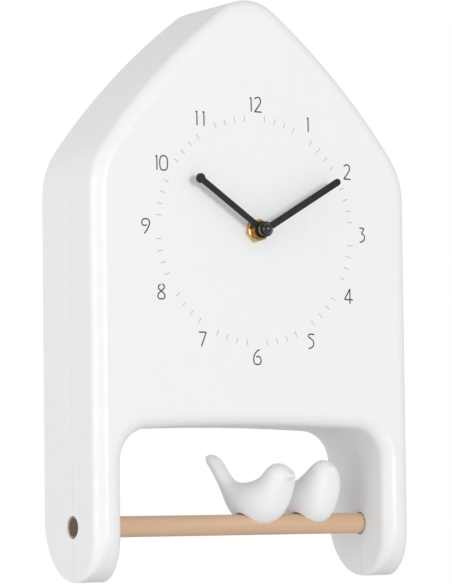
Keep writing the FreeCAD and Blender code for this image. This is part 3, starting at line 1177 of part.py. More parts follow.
# ================================================================ build
def build():
    """Write every node."""
    save("front_shell", front_shell())
    save("back_shell", back_shell())
    save("shell_screws", *[shell_screw(x, z) for x, z in SCREW_PLACES])
    save("battery_door", battery_door())
    save("hanger_plate", hanger_plate())
    save("hanger_screws", hanger_screw(-HANGER_SCREW_X), hanger_screw(HANGER_SCREW_X))
    save("perch_rod", perch_rod())
    save("large_bird", bird(LARGE_BIRD_SECTIONS, LARGE_BIRD_X, LARGE_BIRD_HEADING))
    save("small_bird", bird(SMALL_BIRD_SECTIONS, SMALL_BIRD_X, SMALL_BIRD_HEADING))
    save("hour_hand", hour_hand())
    save("hour_collet", hour_collet())
    save("minute_hand", minute_hand())
    save("cap_nut", cap_nut())
    save("hex_nut", hex_nut())
    save("centre_bush", centre_bush())
    save("movement_gasket", gasket())
    save("movement_case", movement_case())
    save("movement_cover", movement_cover())
    save("minute_arbor", minute_arbor())
    save("motion_wheel", motion_wheel())
    save("hour_wheel", hour_wheel())
    save("setting_knob", setting_knob())
    for name, wheel in going_train().items():
        save(name, wheel)
    save("stator", stator())
    save("coil_bobbin", coil_bobbin())
    save("coil_winding", coil_winding())
    save("logic_board", logic_board())
    save("quartz_crystal", quartz_crystal())
    save("movement_cell", cell("z", CELL_BAY_Y, MOVEMENT_CELL_X))
    save("movement_contacts", *movement_contacts())
    save("sound_cells", *[cell("x", CELL_Y, z) for z in CELL_ROWS])
    save("sound_contacts", *sound_contacts())
    save("speaker_frame", speaker_frame())
    save("speaker_magnet", speaker_magnet())
    save("speaker_cone", speaker_cone())
    save("sound_board", sound_board())
    save("sound_parts", *sound_parts())
    save("board_screws", *[board_screw(x, z) for x, z in BOARD_HOLES])
    save("sound_switch_body", switch_body())
    save("sound_switch", switch_slider())
    save("volume_pot", volume_pot())
    save("volume_knob", volume_knob())
    save("speaker_leads", speaker_leads())
    save("battery_leads", battery_leads())
    save("strike_leads", strike_leads())


build()
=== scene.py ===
"""Looks of the wall-hung cuckoo clock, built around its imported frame.

All lengths are metres in the clock's own frame: the origin is the keyhole on the wall plane,
+X is right and +Z is up, and the dial faces -Y.
"""
import logging
import math
from dataclasses import dataclass, field
from enum import Enum

import bmesh
import bpy
from mathutils import Matrix, Vector


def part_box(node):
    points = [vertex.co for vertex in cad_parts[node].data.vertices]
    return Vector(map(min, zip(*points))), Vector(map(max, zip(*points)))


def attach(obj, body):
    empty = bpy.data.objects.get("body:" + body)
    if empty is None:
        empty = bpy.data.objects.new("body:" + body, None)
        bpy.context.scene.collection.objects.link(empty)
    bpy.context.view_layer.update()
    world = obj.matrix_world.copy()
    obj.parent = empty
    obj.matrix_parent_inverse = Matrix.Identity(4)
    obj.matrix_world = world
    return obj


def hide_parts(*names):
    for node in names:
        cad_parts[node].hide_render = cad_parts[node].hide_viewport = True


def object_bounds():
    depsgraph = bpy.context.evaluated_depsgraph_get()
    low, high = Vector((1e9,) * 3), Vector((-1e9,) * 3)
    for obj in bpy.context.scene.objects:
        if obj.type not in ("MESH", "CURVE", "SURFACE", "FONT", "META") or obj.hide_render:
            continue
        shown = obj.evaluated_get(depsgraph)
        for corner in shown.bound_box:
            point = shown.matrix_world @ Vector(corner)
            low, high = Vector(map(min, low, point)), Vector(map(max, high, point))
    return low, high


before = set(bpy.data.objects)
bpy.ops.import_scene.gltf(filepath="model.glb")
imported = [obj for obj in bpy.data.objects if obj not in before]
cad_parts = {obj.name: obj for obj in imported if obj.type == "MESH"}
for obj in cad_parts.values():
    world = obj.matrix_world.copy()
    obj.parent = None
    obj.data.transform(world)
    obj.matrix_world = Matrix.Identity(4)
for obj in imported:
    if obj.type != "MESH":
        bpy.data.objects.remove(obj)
CAD_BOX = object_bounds()
LOG = logging.getLogger("cuckoo_clock")
MM = 0.001
NEAR = 0.01 * MM            # places closer than this count as the same
MERGE = 0.001 * MM          # vertices closer than this are merged
PAST = 1.0 * MM             # cutters run this far past what they cut
BLEND = 0.5 * MM            # joined pieces run this far into each other
Point = tuple[float, float]
Colour = tuple[float, float, float]
Mesh = bmesh.types.BMesh
Thing = bpy.types.Object
Socket = bpy.types.NodeSocket
Look = tuple[Socket, Socket]


# ---------------------------------------------------------------- finishes
class Pattern(Enum):
    """How a finish varies over its surface."""

    MOTTLED = "mottled"
    GRAINED = "grained"
    TURNED = "turned"
    BRUSHED = "brushed"
    TRACED = "traced"
    WOUND = "wound"
    JACKET = "jacket"


@dataclass(frozen=True)
class Finish:
    """One surface finish of the clock.

    base and second are the two colours it varies between, texture the size of its fine
    relief, relief the depth of that, and spread how far the roughness varies.
    """

    name: str
    base: Colour
    second: Colour
    roughness: float
    metallic: float = 0.0
    texture: float = 0.4 * MM
    relief: float = 0.01 * MM
    spread: float = 0.05
    pattern: Pattern = Pattern.MOTTLED
    coat: float = 0.0
    sheen: float = 0.0
    specular: float = 0.5
    axis: int = 0


COAT_ROUGHNESS = 0.08
CLOUD_SHARE = 0.04                  # cloudy colour's frequency, as a share of the fine relief's
SLOW_GRAIN = (9.0, 160.0, 160.0)    # wood patterns, in cycles per metre along x, y and z
FIBRE = (45.0, 2400.0, 2400.0)
FLECK = (330.0, 2100.0, 2100.0)
HOLE_SHADE_SPAN = (103.3 * MM, 104.3 * MM)    # where painted shade inside the leg holes begins to darken the wood, and has fully darkened it, from x = 0
BRASS_CLOUD = (500.0, 500.0, 500.0)
SCRATCH_STRETCH = 0.04              # frequency of scratches along themselves, as a share of that across
BAND_START = (14.0 * MM, 14.3 * MM)     # a cell's bare end, from its middle

WHITE_PLASTIC = Finish("white_plastic", (0.868, 0.874, 0.878), (0.852, 0.859, 0.864), 0.36)
BIRD_WHITE = Finish("bird_white", (0.885, 0.892, 0.898), (0.868, 0.876, 0.884), 0.52, texture=0.25 * MM)
BEECH = Finish("beech", (0.60, 0.385, 0.245), (0.72, 0.49, 0.33), 0.52, relief=0.03 * MM,
               pattern=Pattern.GRAINED)
# Cut ends of the rod: real end grain, darkened further with painted shade of the recessed leg holes.
SHADED_END_GRAIN = Finish("end_grain_painted_shade", (0.105, 0.066, 0.048), (0.140, 0.090, 0.064), 0.70, texture=0.5 * MM,
                   relief=0.02 * MM)
BLACK_METAL = Finish("black_metal", (0.006, 0.006, 0.007), (0.011, 0.011, 0.012), 0.42,
                     texture=0.15 * MM, relief=0.004 * MM, specular=0.35)
GLOSS_BLACK = Finish("gloss_black", (0.006, 0.006, 0.007), (0.009, 0.009, 0.011), 0.14,
                     texture=0.5 * MM, relief=0.002 * MM, coat=0.5)
BRASS = Finish("brass", (0.60, 0.37, 0.13), (0.78, 0.53, 0.24), 0.27, 1.0, texture=0.12 * MM,
               relief=0.006 * MM, pattern=Pattern.TURNED)
STEEL = Finish("steel", (0.50, 0.50, 0.52), (0.62, 0.62, 0.63), 0.32, 1.0, texture=0.3 * MM,
               relief=0.005 * MM, pattern=Pattern.BRUSHED)
RUBBER = Finish("rubber", (0.020, 0.020, 0.021), (0.032, 0.032, 0.032), 0.78, texture=0.3 * MM,
                relief=0.02 * MM)
BLACK_PLASTIC = Finish("black_plastic", (0.022, 0.022, 0.024), (0.032, 0.032, 0.035), 0.50,
                       texture=0.22 * MM, relief=0.02 * MM)
GEAR_NYLON = Finish("gear_nylon", (0.80, 0.78, 0.70), (0.72, 0.70, 0.62), 0.40, sheen=0.1)
SETTING_RED = Finish("setting_red", (0.45, 0.02, 0.02), (0.36, 0.015, 0.015), 0.42)
MAGNET = Finish("magnet", (0.05, 0.05, 0.055), (0.09, 0.09, 0.095), 0.60, 0.4, relief=0.02 * MM)
COPPER = Finish("copper", (0.55, 0.20, 0.08), (0.70, 0.32, 0.14), 0.28, 1.0, texture=0.16 * MM,
                relief=0.04 * MM, pattern=Pattern.WOUND)
BOARD_GREEN = Finish("board_green", (0.010, 0.085, 0.035), (0.030, 0.180, 0.080), 0.30,
                     texture=2.5 * MM, pattern=Pattern.TRACED, coat=0.3)
CELL_UPRIGHT = Finish("cell_upright", (0.030, 0.055, 0.150), (0.55, 0.56, 0.58), 0.30, 0.3,
                      pattern=Pattern.JACKET, axis=2)
CELL_LEVEL = Finish("cell_level", (0.030, 0.055, 0.150), (0.55, 0.56, 0.58), 0.30, 0.3,
                    pattern=Pattern.JACKET, axis=0)
PAPER = Finish("paper", (0.030, 0.029, 0.028), (0.050, 0.048, 0.046), 0.88, texture=0.5 * MM,
               relief=0.05 * MM, sheen=0.3)
WIRE = Finish("wire", (0.35, 0.014, 0.014), (0.28, 0.010, 0.010), 0.38)
INK = Finish("numeral_ink", (0.050, 0.040, 0.036), (0.075, 0.062, 0.056), 0.60)
TICK_INK = Finish("tick_ink", (0.28, 0.285, 0.28), (0.34, 0.345, 0.34), 0.60)
FLOOR_WHITE = Finish("pale_floor", (0.80, 0.80, 0.80), (0.78, 0.78, 0.78), 0.70,
                     texture=40 * MM)

NODE_FINISH = {
    WHITE_PLASTIC: ("back_shell", "battery_door"),
    STEEL: ("shell_screws", "hanger_plate", "hanger_screws", "stator", "quartz_crystal",
            "movement_contacts", "sound_contacts", "speaker_frame", "board_screws"),
    BRASS: ("centre_bush", "minute_arbor"),
    RUBBER: ("movement_gasket",),
    BLACK_PLASTIC: ("movement_case", "movement_cover", "coil_bobbin", "sound_parts",
                    "sound_switch_body", "sound_switch", "volume_pot", "volume_knob"),
    GEAR_NYLON: ("motion_wheel", "hour_wheel", "centre_wheel", "third_wheel", "fourth_wheel",
                 "second_wheel"),
    SETTING_RED: ("setting_knob",),
    MAGNET: ("speaker_magnet", "rotor"),
    COPPER: ("coil_winding",),
    BOARD_GREEN: ("logic_board", "sound_board"),
    CELL_UPRIGHT: ("movement_cell",),
    CELL_LEVEL: ("sound_cells",),
    PAPER: ("speaker_cone",),
    WIRE: ("speaker_leads", "battery_leads", "strike_leads"),
}


class Palette:
    """Makes each finish's material once and hands it out."""

    def __init__(self) -> None:
        """Start with no materials."""
        self.made: dict[str, bpy.types.Material] = {}

    def get(self, finish: Finish) -> bpy.types.Material:
        """The material of a finish.

        Args:
            finish: The finish wanted.

        Returns:
            Its material, made the first time it is asked for.
        """
        if finish.name not in self.made:
            self.made[finish.name] = self._make(finish)
        return self.made[finish.name]

    def _make(self, finish: Finish) -> bpy.types.Material:
        """Build the node tree of a finish.

        Args:
            finish: The finish to build.

        Returns:
            The new material.
        """
        material = bpy.data.materials.new(finish.name)
        material.use_nodes = True
        self.tree = material.node_tree
        shader = self.tree.nodes["Principled BSDF"]
        shader.inputs["Metallic"].default_value = finish.metallic
        shader.inputs["Specular IOR Level"].default_value = finish.specular
        shader.inputs["Coat Weight"].default_value = finish.coat
        shader.inputs["Coat Roughness"].default_value = COAT_ROUGHNESS
        shader.inputs["Sheen Weight"].default_value = finish.sheen
        builders = {
            Pattern.MOTTLED: self._mottled, Pattern.GRAINED: self._grained,
            Pattern.TURNED: self._turned, Pattern.BRUSHED: self._brushed,
            Pattern.TRACED: self._traced, Pattern.WOUND: self._wound,
            Pattern.JACKET: self._jacket,
        }
        tone, height = builders[finish.pattern](finish)
        self._blend(tone, finish.base, finish.second, shader.inputs["Base Color"])
        rough = self._node("ShaderNodeMapRange")
        rough.inputs["To Min"].default_value = finish.roughness - finish.spread
        rough.inputs["To Max"].default_value = finish.roughness + finish.spread
        self._link(tone, rough.inputs["Value"])
        self._link(rough.outputs["Result"], shader.inputs["Roughness"])
        bump = self._node("ShaderNodeBump")
        bump.inputs["Distance"].default_value = finish.relief
        self._link(height, bump.inputs["Height"])
        self._link(bump.outputs["Normal"], shader.inputs["Normal"])
        return material

    def _node(self, kind: str) -> bpy.types.Node:
        """Add a node of a kind to the tree in hand."""
        return self.tree.nodes.new(kind)

    def _link(self, source: Socket, target: Socket) -> None:
        """Join an output to an input."""
        self.tree.links.new(source, target)

    def _place(self) -> Socket:
        """Position on the object, in metres."""
        return self._node("ShaderNodeTexCoord").outputs["Object"]

    def _coordinates(self, scale: tuple[float, float, float]) -> Socket:
        """Object coordinates stretched by a scale.

        Args:
            scale: Pattern cycles per metre along x, y and z.

        Returns:
            The vector output.
        """
        mapping = self._node("ShaderNodeMapping")
        mapping.inputs["Scale"].default_value = scale
        self._link(self._place(), mapping.inputs["Vector"])
        return mapping.outputs["Vector"]

    def _noise(self, scale: tuple[float, float, float], detail: float) -> Socket:
        """A noise field.

        Args:
            scale: Pattern cycles per metre along x, y and z.
            detail: Octaves of finer noise.

        Returns:
            The factor output.
        """
        noise = self._node("ShaderNodeTexNoise")
        noise.inputs["Scale"].default_value = 1.0
        noise.inputs["Detail"].default_value = detail
        self._link(self._coordinates(scale), noise.inputs["Vector"])
        return noise.outputs["Fac"]

    def _math(self, operation: str, first: Socket,
              second: Socket | float = 0.0) -> Socket:
        """Combine two values.

        Args:
            operation: A Math node operation.
            first: The first value.
            second: The second value, a socket or a number.

        Returns:
            The result.
        """
        node = self._node("ShaderNodeMath")
        node.operation = operation
        self._link(first, node.inputs[0])
        if isinstance(second, float):
            node.inputs[1].default_value = second
        else:
            self._link(second, node.inputs[1])
        return node.outputs["Value"]

    def _ramp(self, value: Socket, low: float, high: float) -> Socket:
        """Stretch a value so that low becomes 0 and high becomes 1."""
        node = self._node("ShaderNodeMapRange")
        node.interpolation_type = "SMOOTHSTEP"
        node.inputs["From Min"].default_value = low
        node.inputs["From Max"].default_value = high
        self._link(value, node.inputs["Value"])
        return node.outputs["Result"]

    def _blend(self, factor: Socket, first: Colour, second: Colour,
               target: Socket) -> None:
        """Mix two colours by a factor into an input.

        Args:
            factor: 0 for the first colour and 1 for the second.
            first: Linear colour at 0.
            second: Linear colour at 1.
            target: The input that takes the colour.
        """
        ramp = self._node("ShaderNodeValToRGB")
        ramp.color_ramp.elements[0].color = (*first, 1.0)
        ramp.color_ramp.elements[1].color = (*second, 1.0)
        self._link(factor, ramp.inputs["Fac"])
        self._link(ramp.outputs["Color"], target)

    def _axis_value(self, axis: int) -> Socket:
        """Position along one axis, in metres."""
        parts = self._node("ShaderNodeSeparateXYZ")
        self._link(self._place(), parts.inputs["Vector"])
        return parts.outputs[axis]

    def _mottled(self, finish: Finish) -> Look:
        """Slow cloudy colour with a fine even texture, as on moulded plastic."""
        fine = 1.0 / finish.texture
        tone = self._ramp(self._noise((CLOUD_SHARE * fine,) * 3, 3.0), 0.3, 0.7)
        return tone, self._noise((fine,) * 3, 2.0)

    def _grained(self, finish: Finish) -> Look:
        """Straight grain along x with short flecks, darkened near the rod's ends as painted shade inside the
        leg holes.
        """
        slow = self._ramp(self._noise(SLOW_GRAIN, 4.0), 0.3, 0.7)
        fibre = self._noise(FIBRE, 3.0)
        fleck = self._ramp(self._noise(FLECK, 1.0), 0.60, 0.70)
        tone = self._math("ADD", self._math("MULTIPLY", slow, 0.55), self._math("MULTIPLY", fibre, 0.45))
        tone = self._math("SUBTRACT", tone, self._math("MULTIPLY", fleck, 0.45))
        # painted shade: the wood darkens towards the rod's ends, where they sit recessed in the leg holes
        reach = self._math("ABSOLUTE", self._axis_value(0))
        hole_shade = self._ramp(reach, *HOLE_SHADE_SPAN)
        tone = self._math("SUBTRACT", tone, self._math("MULTIPLY", hole_shade, 1.2))
        return self._math("MAXIMUM", tone, 0.0), fibre

    def _turned(self, finish: Finish) -> Look:
        """Fine rings round the hands' axis left by the lathe."""
        hub = hub_point()
        mapping = self._node("ShaderNodeMapping")
        mapping.inputs["Location"].default_value = (-hub.x, 0.0, -hub.z)
        mapping.inputs["Scale"].default_value = (1.0, 0.0, 1.0)
        self._link(self._place(), mapping.inputs["Vector"])
        length = self._node("ShaderNodeVectorMath")
        length.operation = "LENGTH"
        self._link(mapping.outputs["Vector"], length.inputs[0])
        radius = self._math("DIVIDE", length.outputs["Value"], finish.texture)
        rings = self._node("ShaderNodeTexNoise")
        rings.noise_dimensions = "1D"
        rings.inputs["Scale"].default_value = 1.0
        self._link(radius, rings.inputs["W"])
        cloud = self._ramp(self._noise(BRASS_CLOUD, 2.0), 0.25, 0.75)
        return cloud, rings.outputs["Fac"]

    def _brushed(self, finish: Finish) -> Look:
        """Scratches along z."""
        across = 1.0 / finish.texture
        lines = self._noise((across, across, SCRATCH_STRETCH * across), 3.0)
        return self._ramp(lines, 0.3, 0.7), lines

    def _traced(self, finish: Finish) -> Look:
        """Copper runs that show through a board's solder resist."""
        cells = self._node("ShaderNodeTexVoronoi")
        cells.feature = "DISTANCE_TO_EDGE"
        cells.inputs["Scale"].default_value = 1.0
        fine = 1.0 / finish.texture
        self._link(self._coordinates((fine, 0.0, fine)), cells.inputs["Vector"])
        runs = self._ramp(cells.outputs["Distance"], 0.16, 0.10)
        return runs, runs

    def _wound(self, finish: Finish) -> Look:
        """Turns of fine wire side by side along x."""
        turns = self._math("SINE", self._math("DIVIDE", self._axis_value(0), finish.texture / math.tau))
        level = self._ramp(turns, -1.0, 1.0)
        return level, level

    def _jacket(self, finish: Finish) -> Look:
        """A plain dark jacket with a bare band at the raised end."""
        place = self._axis_value(finish.axis)
        centre = hub_point().z if finish.axis == 2 else 0.0
        along = self._math("SUBTRACT", place, centre)
        band = self._ramp(along, *BAND_START)
        return band, self._noise((1.0 / finish.texture,) * 3, 1.0)


# ---------------------------------------------------------------- mesh helpers
def hub_point() -> Vector:
    """The point where the hands' axis meets the front face."""
    low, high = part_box("cap_nut")
    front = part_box("front_shell")[0].y
    return Vector(((low.x + high.x) / 2, front, (low.z + high.z) / 2))


def arc_points(centre: Point, radius: float, start: float, end: float, count: int) -> list[Point]:
    """Points along an arc.

    Args:
        centre: The arc's centre.
        radius: Its radius.
        start: First angle in degrees, from the first coordinate towards the second.
        end: Last angle in degrees.
        count: Steps between the first and the last point.

    Returns:
        count + 1 points.
    """
    points = []
    for step in range(count + 1):
        turn = math.radians(start + (end - start) * step / count)
        points.append((centre[0] + radius * math.cos(turn), centre[1] + radius * math.sin(turn)))
    return points


def lies_at(part: bmesh.types.BMEdge | bmesh.types.BMFace, axis: int, value: float) -> bool:
    """Whether every vertex of an edge or face has one value on an axis."""
    return all(abs(vert.co[axis] - value) < NEAR for vert in part.verts)


def new_object(name: str, bm: Mesh) -> Thing:
    """Turn a bmesh into an object in the scene.

    Args:
        name: The object's name.
        bm: The mesh, which is freed.

    Returns:
        The object.
    """
    mesh = bpy.data.meshes.new(name)
    bm.to_mesh(mesh)
    bm.free()
    thing = bpy.data.objects.new(name, mesh)
    bpy.context.scene.collection.objects.link(thing)
    return thing


def outward(bm: Mesh) -> Mesh:
    """Merge doubled vertices and turn every face outwards."""
    bmesh.ops.remove_doubles(bm, verts=bm.verts, dist=MERGE)
    bmesh.ops.recalc_face_normals(bm, faces=bm.faces)
    return bm


def plate(points: list[Point], front: float, back: float, axis: int = 1) -> Mesh:
    """Extrude a flat outline.

    Args:
        points: The outline, in x and z for axis 1, or in y and z for axis 0.
        front: Where the extrusion starts along the axis.
        back: Where it ends.
        axis: 1 to extrude along y, 0 along x.

    Returns:
        The closed mesh.
    """
    bm = bmesh.new()
    places = [(a, front, b) if axis == 1 else (front, a, b) for a, b in points]
    face = bmesh.ops.contextual_create(bm, geom=_ring(bm, places))["faces"][0]
    grown = bmesh.ops.extrude_face_region(bm, geom=[face])["geom"]
    shift = [0.0, 0.0, 0.0]
    shift[axis] = back - front
    corners = [item for item in grown if isinstance(item, bmesh.types.BMVert)]
    bmesh.ops.translate(bm, verts=corners, vec=shift)
    return outward(bm)


def _ring(bm: Mesh, places: list[tuple[float, float, float]]) -> list:
    """Add a closed ring of vertices and edges and return its edges."""
    corners = [bm.verts.new(place) for place in places]
    return [bm.edges.new(pair) for pair in zip(corners, corners[1:] + corners[:1])]


def turned(profile: list[Point], centre: Vector, steps: int = 96, axis: str = "Y") -> Mesh:
    """Spin a profile round an axis.

    Args:
        profile: (radius, distance along the axis) points of an open or closed section.
        centre: A point on the axis; distances are measured from it.
        steps: Facets round the axis.
        axis: "Y" or "X".

    Returns:
        The closed mesh.
    """
    bm = bmesh.new()
    places = [(radius, along, 0.0) for radius, along in profile]
    edges = _ring(bm, places)
    geometry = list(bm.verts) + edges
    bmesh.ops.spin(bm, geom=geometry, cent=(0, 0, 0), axis=(0, 1, 0), angle=math.tau,
                   steps=steps, use_merge=True, use_duplicate=False)
    if axis == "X":
        bmesh.ops.rotate(bm, verts=bm.verts, cent=(0, 0, 0), matrix=Matrix.Rotation(-math.pi / 2, 3, "Z"))
    bmesh.ops.translate(bm, verts=bm.verts, vec=centre)
    bmesh.ops.dissolve_degenerate(bm, dist=MERGE, edges=bm.edges)
    loose = [edge for edge in bm.edges if not edge.link_faces]
    bmesh.ops.delete(bm, geom=loose, context="EDGES")
    return outward(bm)


def cylinder(radius: float, length: float, start: Vector, steps: int, axis: str = "Y") -> Mesh:
    """A closed cylinder.

    Args:
        radius: Its radius.
        length: Its length, in the axis's own direction.
        start: The middle of its first end.
        steps: Facets round it.
        axis: "Y" or "X".

    Returns:
        The closed mesh.
    """
    return turned([(0.0, 0.0), (radius, 0.0), (radius, length), (0.0, length)], start, steps, axis)


def apply_modifiers(thing: Thing) -> Thing:
    """Replace an object's mesh by what its modifiers make of it."""
    graph = bpy.context.evaluated_depsgraph_get()
    mesh = bpy.data.meshes.new_from_object(thing.evaluated_get(graph))
    thing.modifiers.clear()
    thing.data = mesh
    return thing


def combine(body: Thing, other: Thing, operation: str) -> Thing:
    """Boolean one object with another, which is used up.

    Args:
        body: The object that keeps the result.
        other: The object that is added, cut away or kept in common.
        operation: UNION, DIFFERENCE or INTERSECT.

    Returns:
        The body.
    """
    modifier = body.modifiers.new("cut", "BOOLEAN")
    modifier.operation = operation
    modifier.object = other
    modifier.solver = "MANIFOLD"
    apply_modifiers(body)
    bpy.data.objects.remove(other)
    return body


def joined(name: str, meshes: list[Mesh]) -> Thing:
    """One object that holds several separate closed meshes."""
    bm = bmesh.new()
    for part in meshes:
        scratch = bpy.data.meshes.new("scratch")
        part.to_mesh(scratch)
        part.free()
        bm.from_mesh(scratch)
        bpy.data.meshes.remove(scratch)
    return new_object(name, bm)


def smooth(thing: Thing, angle: float = 35.0, weighted: bool = True) -> Thing:
    """Shade an object smooth with sharp edges past an angle.

    Args:
        thing: The object.
        angle: Edges that turn by more, in degrees, stay sharp.
        weighted: True to let large faces set the normals at their corners.

    Returns:
        The object.
    """
    thing.data.shade_smooth()
    thing.data.set_sharp_from_angle(angle=math.radians(angle))
    if weighted:
        modifier = thing.modifiers.new("even_shading", "WEIGHTED_NORMAL")
        modifier.keep_sharp = True
    return thing


def rounded(thing: Thing, width: float, segments: int = 3, angle: float = 40.0) -> Thing:
    """Give an object a live bevel on its sharp edges.

    Args:
        thing: The object.
        width: Width of the bevel.
        segments: Its segments.
        angle: Edges that turn by more, in degrees, get it.

    Returns:
        The object.
    """
    modifier = thing.modifiers.new("edge_rounding", "BEVEL")
    modifier.width = width
    modifier.segments = segments
    modifier.limit_method = "ANGLE"
    modifier.angle_limit = math.radians(angle)
    return thing


@dataclass
class Assembly:
    """What every sub-assembly shares: its palette and how a piece is finished and placed."""

    palette: Palette

    def dress(self, thing: Thing, finish: Finish, body: str, slot: str,
              replaced: tuple[str, ...] = ()) -> Thing:
        """Give a piece its finish and its place in the frame.

        Args:
            thing: The piece.
            finish: Its finish.
            body: The moving body it rides on.
            slot: The record's material slot; not used.
            replaced: Nodes that it stands for.

        Returns:
            The piece.
        """
        thing.data.materials.clear()
        thing.data.materials.append(self.palette.get(finish))
        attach(thing, body)
        if replaced:
            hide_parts(*replaced)
        LOG.info("%s: %d faces on %s", thing.name, len(thing.data.polygons), body)
        return thing


# ---------------------------------------------------------------- case front
@dataclass
class CaseFront(Assembly):
    """The front half of the house-shaped case, with rounding that fades out at the leg ends."""

    wall: float = 3.0 * MM
    rounding: float = 8.0 * MM
    seam_rounding: float = 0.6 * MM
    seam_break: float = 0.22 * MM
    apex_radius: float = 26.0 * MM
    roof_radius: float = 400.0 * MM
    roof_start: float = 37.0
    eave_radius: float = 46.0 * MM
    leg_thickness: float = 17.7 * MM
    arch_drop: float = 112.0 * MM
    arch_crown_radius: float = 1320.0 * MM
    arch_corner_radius: float = 19.0 * MM
    leg_front_radius: float = 26.8 * MM
    leg_back_radius: float = 36.0 * MM
    bush_hole: float = 4.17 * MM
    rod_hole: float = 6.5 * MM
    post_radius: float = 4.6 * MM
    post_bore: float = 1.5 * MM
    post_bore_length: float = 13.0 * MM
    rib_half: float = 1.5 * MM
    rib_below: float = 14.0 * MM
    rib_above: float = 12.0 * MM
    top_post: float = 121.0 * MM
    side_posts: tuple[Point, ...] = ((88.0 * MM, 22.0 * MM), (74.0 * MM, -102.0 * MM))
    leg_post: float = -150.0 * MM
    segments: int = 12

    def __post_init__(self) -> None:
        """Read the case's place from the frame."""
        low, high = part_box("front_shell")
        self.half_width = high.x
        self.front_y = low.y
        self.seam_y = high.y
        self.top_z = high.z
        self.bottom_z = low.z
        self.hub = hub_point()
        self.leg_inner = self.half_width - self.leg_thickness
        self.leg_centre = self.leg_inner + self.leg_thickness / 2
        self.tangent_z = self.bottom_z + self.leg_front_radius
        rod_low, rod_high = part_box("perch_rod")
        self.rod = (rod_low + rod_high) / 2

    def outline(self, inset: float) -> list[Point]:
        """The front outline down to where the leg ends begin to curve.

        Args:
            inset: How far inside the outer surface it runs.

        Returns:
            Points in x and z, from the lower outer corner of the right leg round to its inner one.
        """
        half, inner = self.half_width - inset, self.leg_inner + inset
        apex_z = self.top_z - self.apex_radius
        start = math.radians(self.roof_start)
        reach = self.roof_radius - self.apex_radius
        roof = (-reach * math.sin(start), apex_z - reach * math.cos(start))
        eave_x = self.half_width - self.eave_radius
        span = self.roof_radius - self.eave_radius
        eave = (eave_x, roof[1] + math.sqrt(span ** 2 - (eave_x - roof[0]) ** 2))
        eave_angle = math.degrees(math.atan2(eave[1] - roof[1], eave[0] - roof[0]))
        corner_x = self.leg_inner - self.arch_corner_radius
        crown = (0.0, self.hub.z - self.arch_drop - self.arch_crown_radius)
        corner_reach = self.arch_crown_radius - self.arch_corner_radius
        corner = (corner_x, crown[1] + math.sqrt(corner_reach ** 2 - corner_x ** 2))
        corner_angle = math.degrees(math.atan2(corner[1] - crown[1], corner_x))
        right = [(half, self.tangent_z)]
        right += arc_points(eave, self.eave_radius - inset, 0, eave_angle, 20)
        right += arc_points(roof, self.roof_radius - inset, eave_angle, 90 - self.roof_start, 16)[1:]
        right += arc_points((0.0, apex_z), self.apex_radius - inset, 90 - self.roof_start, 90, 16)[1:]
        opening = arc_points(crown, self.arch_crown_radius + inset, 90, corner_angle, 14)
        opening += arc_points(corner, self.arch_corner_radius + inset, corner_angle, 0, 20)[1:]
        opening += [(inner, self.tangent_z)]
        left = [(-x, z) for x, z in reversed(right[:-1])]
        left_opening = [(-x, z) for x, z in reversed(opening[1:])]
        return right + left + left_opening + opening

    def leg_side(self, inset: float, back_y: float) -> list[Point]:
        """Side view of one leg end below the point where it begins to curve."""
        low_y = self.front_y + self.leg_front_radius
        front = arc_points((low_y, self.tangent_z), self.leg_front_radius - inset, 180, 270, 26)
        back_centre = (low_y, self.bottom_z + self.leg_back_radius)
        back_radius = self.leg_back_radius - inset
        back_angle = 270 + math.degrees(math.asin((back_y - low_y) / back_radius))
        back = arc_points(back_centre, back_radius, 270, back_angle, 2)
        return front + back[1:] + [(back_y, self.tangent_z)]

    def block(self, inset: float, back_y: float, radius: float, name: str) -> Thing:
        """The front half as a solid block with its fading rounding.

        Args:
            inset: How far inside the outer surface it lies.
            back_y: Its rear plane.
            radius: Rounding of its front edge.
            name: The object's name.

        Returns:
            The object.
        """
        parts = [plate(self.outline(inset), self.front_y + inset, back_y)]
        inner, outer = self.leg_inner + inset, self.half_width - inset
        for side in (-1, 1):
            parts.append(plate(self.leg_side(inset, back_y), side * inner, side * outer, axis=0))
        thing = joined(name, parts)
        bm = bmesh.new()
        bm.from_mesh(thing.data)
        flat = [face for face in bm.faces if lies_at(face, 2, self.tangent_z)]
        bmesh.ops.delete(bm, geom=flat, context="FACES_ONLY")
        outward(bm)
        self._weigh(bm, inset, back_y, radius)
        bm.to_mesh(thing.data)
        bm.free()
        bevel = thing.modifiers.new("rounding", "BEVEL")
        bevel.width = radius
        bevel.segments = self.segments
        bevel.limit_method = "WEIGHT"
        bevel.use_clamp_overlap = False
        bevel.loop_slide = False
        return apply_modifiers(thing)

    def _weigh(self, bm: Mesh, inset: float, back_y: float, radius: float) -> None:
        """Mark how much each edge of a block is rounded.

        Args:
            bm: The block.
            inset: How far inside the outer surface it lies.
            back_y: Its rear plane.
            radius: The full rounding.
        """
        layer = bm.edges.layers.float.new("bevel_weight_edge")
        front_y = self.front_y + inset
        low_y = self.front_y + self.leg_front_radius
        full_turn = math.pi / 2 + math.asin((back_y - low_y) / self.leg_back_radius)
        for edge in bm.edges:
            first, last = (vert.co for vert in edge.verts)
            middle = (first + last) / 2
            if abs(first.x - last.x) > MM and lies_at(edge, 2, self.tangent_z):
                continue
            if lies_at(edge, 1, front_y):
                edge[layer] = 1.0
            elif lies_at(edge, 1, back_y):
                edge[layer] = self.seam_break / radius if inset == 0 else 0.0
            elif middle.z < self.tangent_z - NEAR and abs(first.x - last.x) < NEAR:
                turn = math.atan2(self.tangent_z - middle.z, low_y - middle.y)
                share = max(0.0, min(1.0, turn / full_turn))
                fade = share * share * (3 - 2 * share)
                edge[layer] = 1.0 - fade * (1.0 - self.seam_rounding / radius)

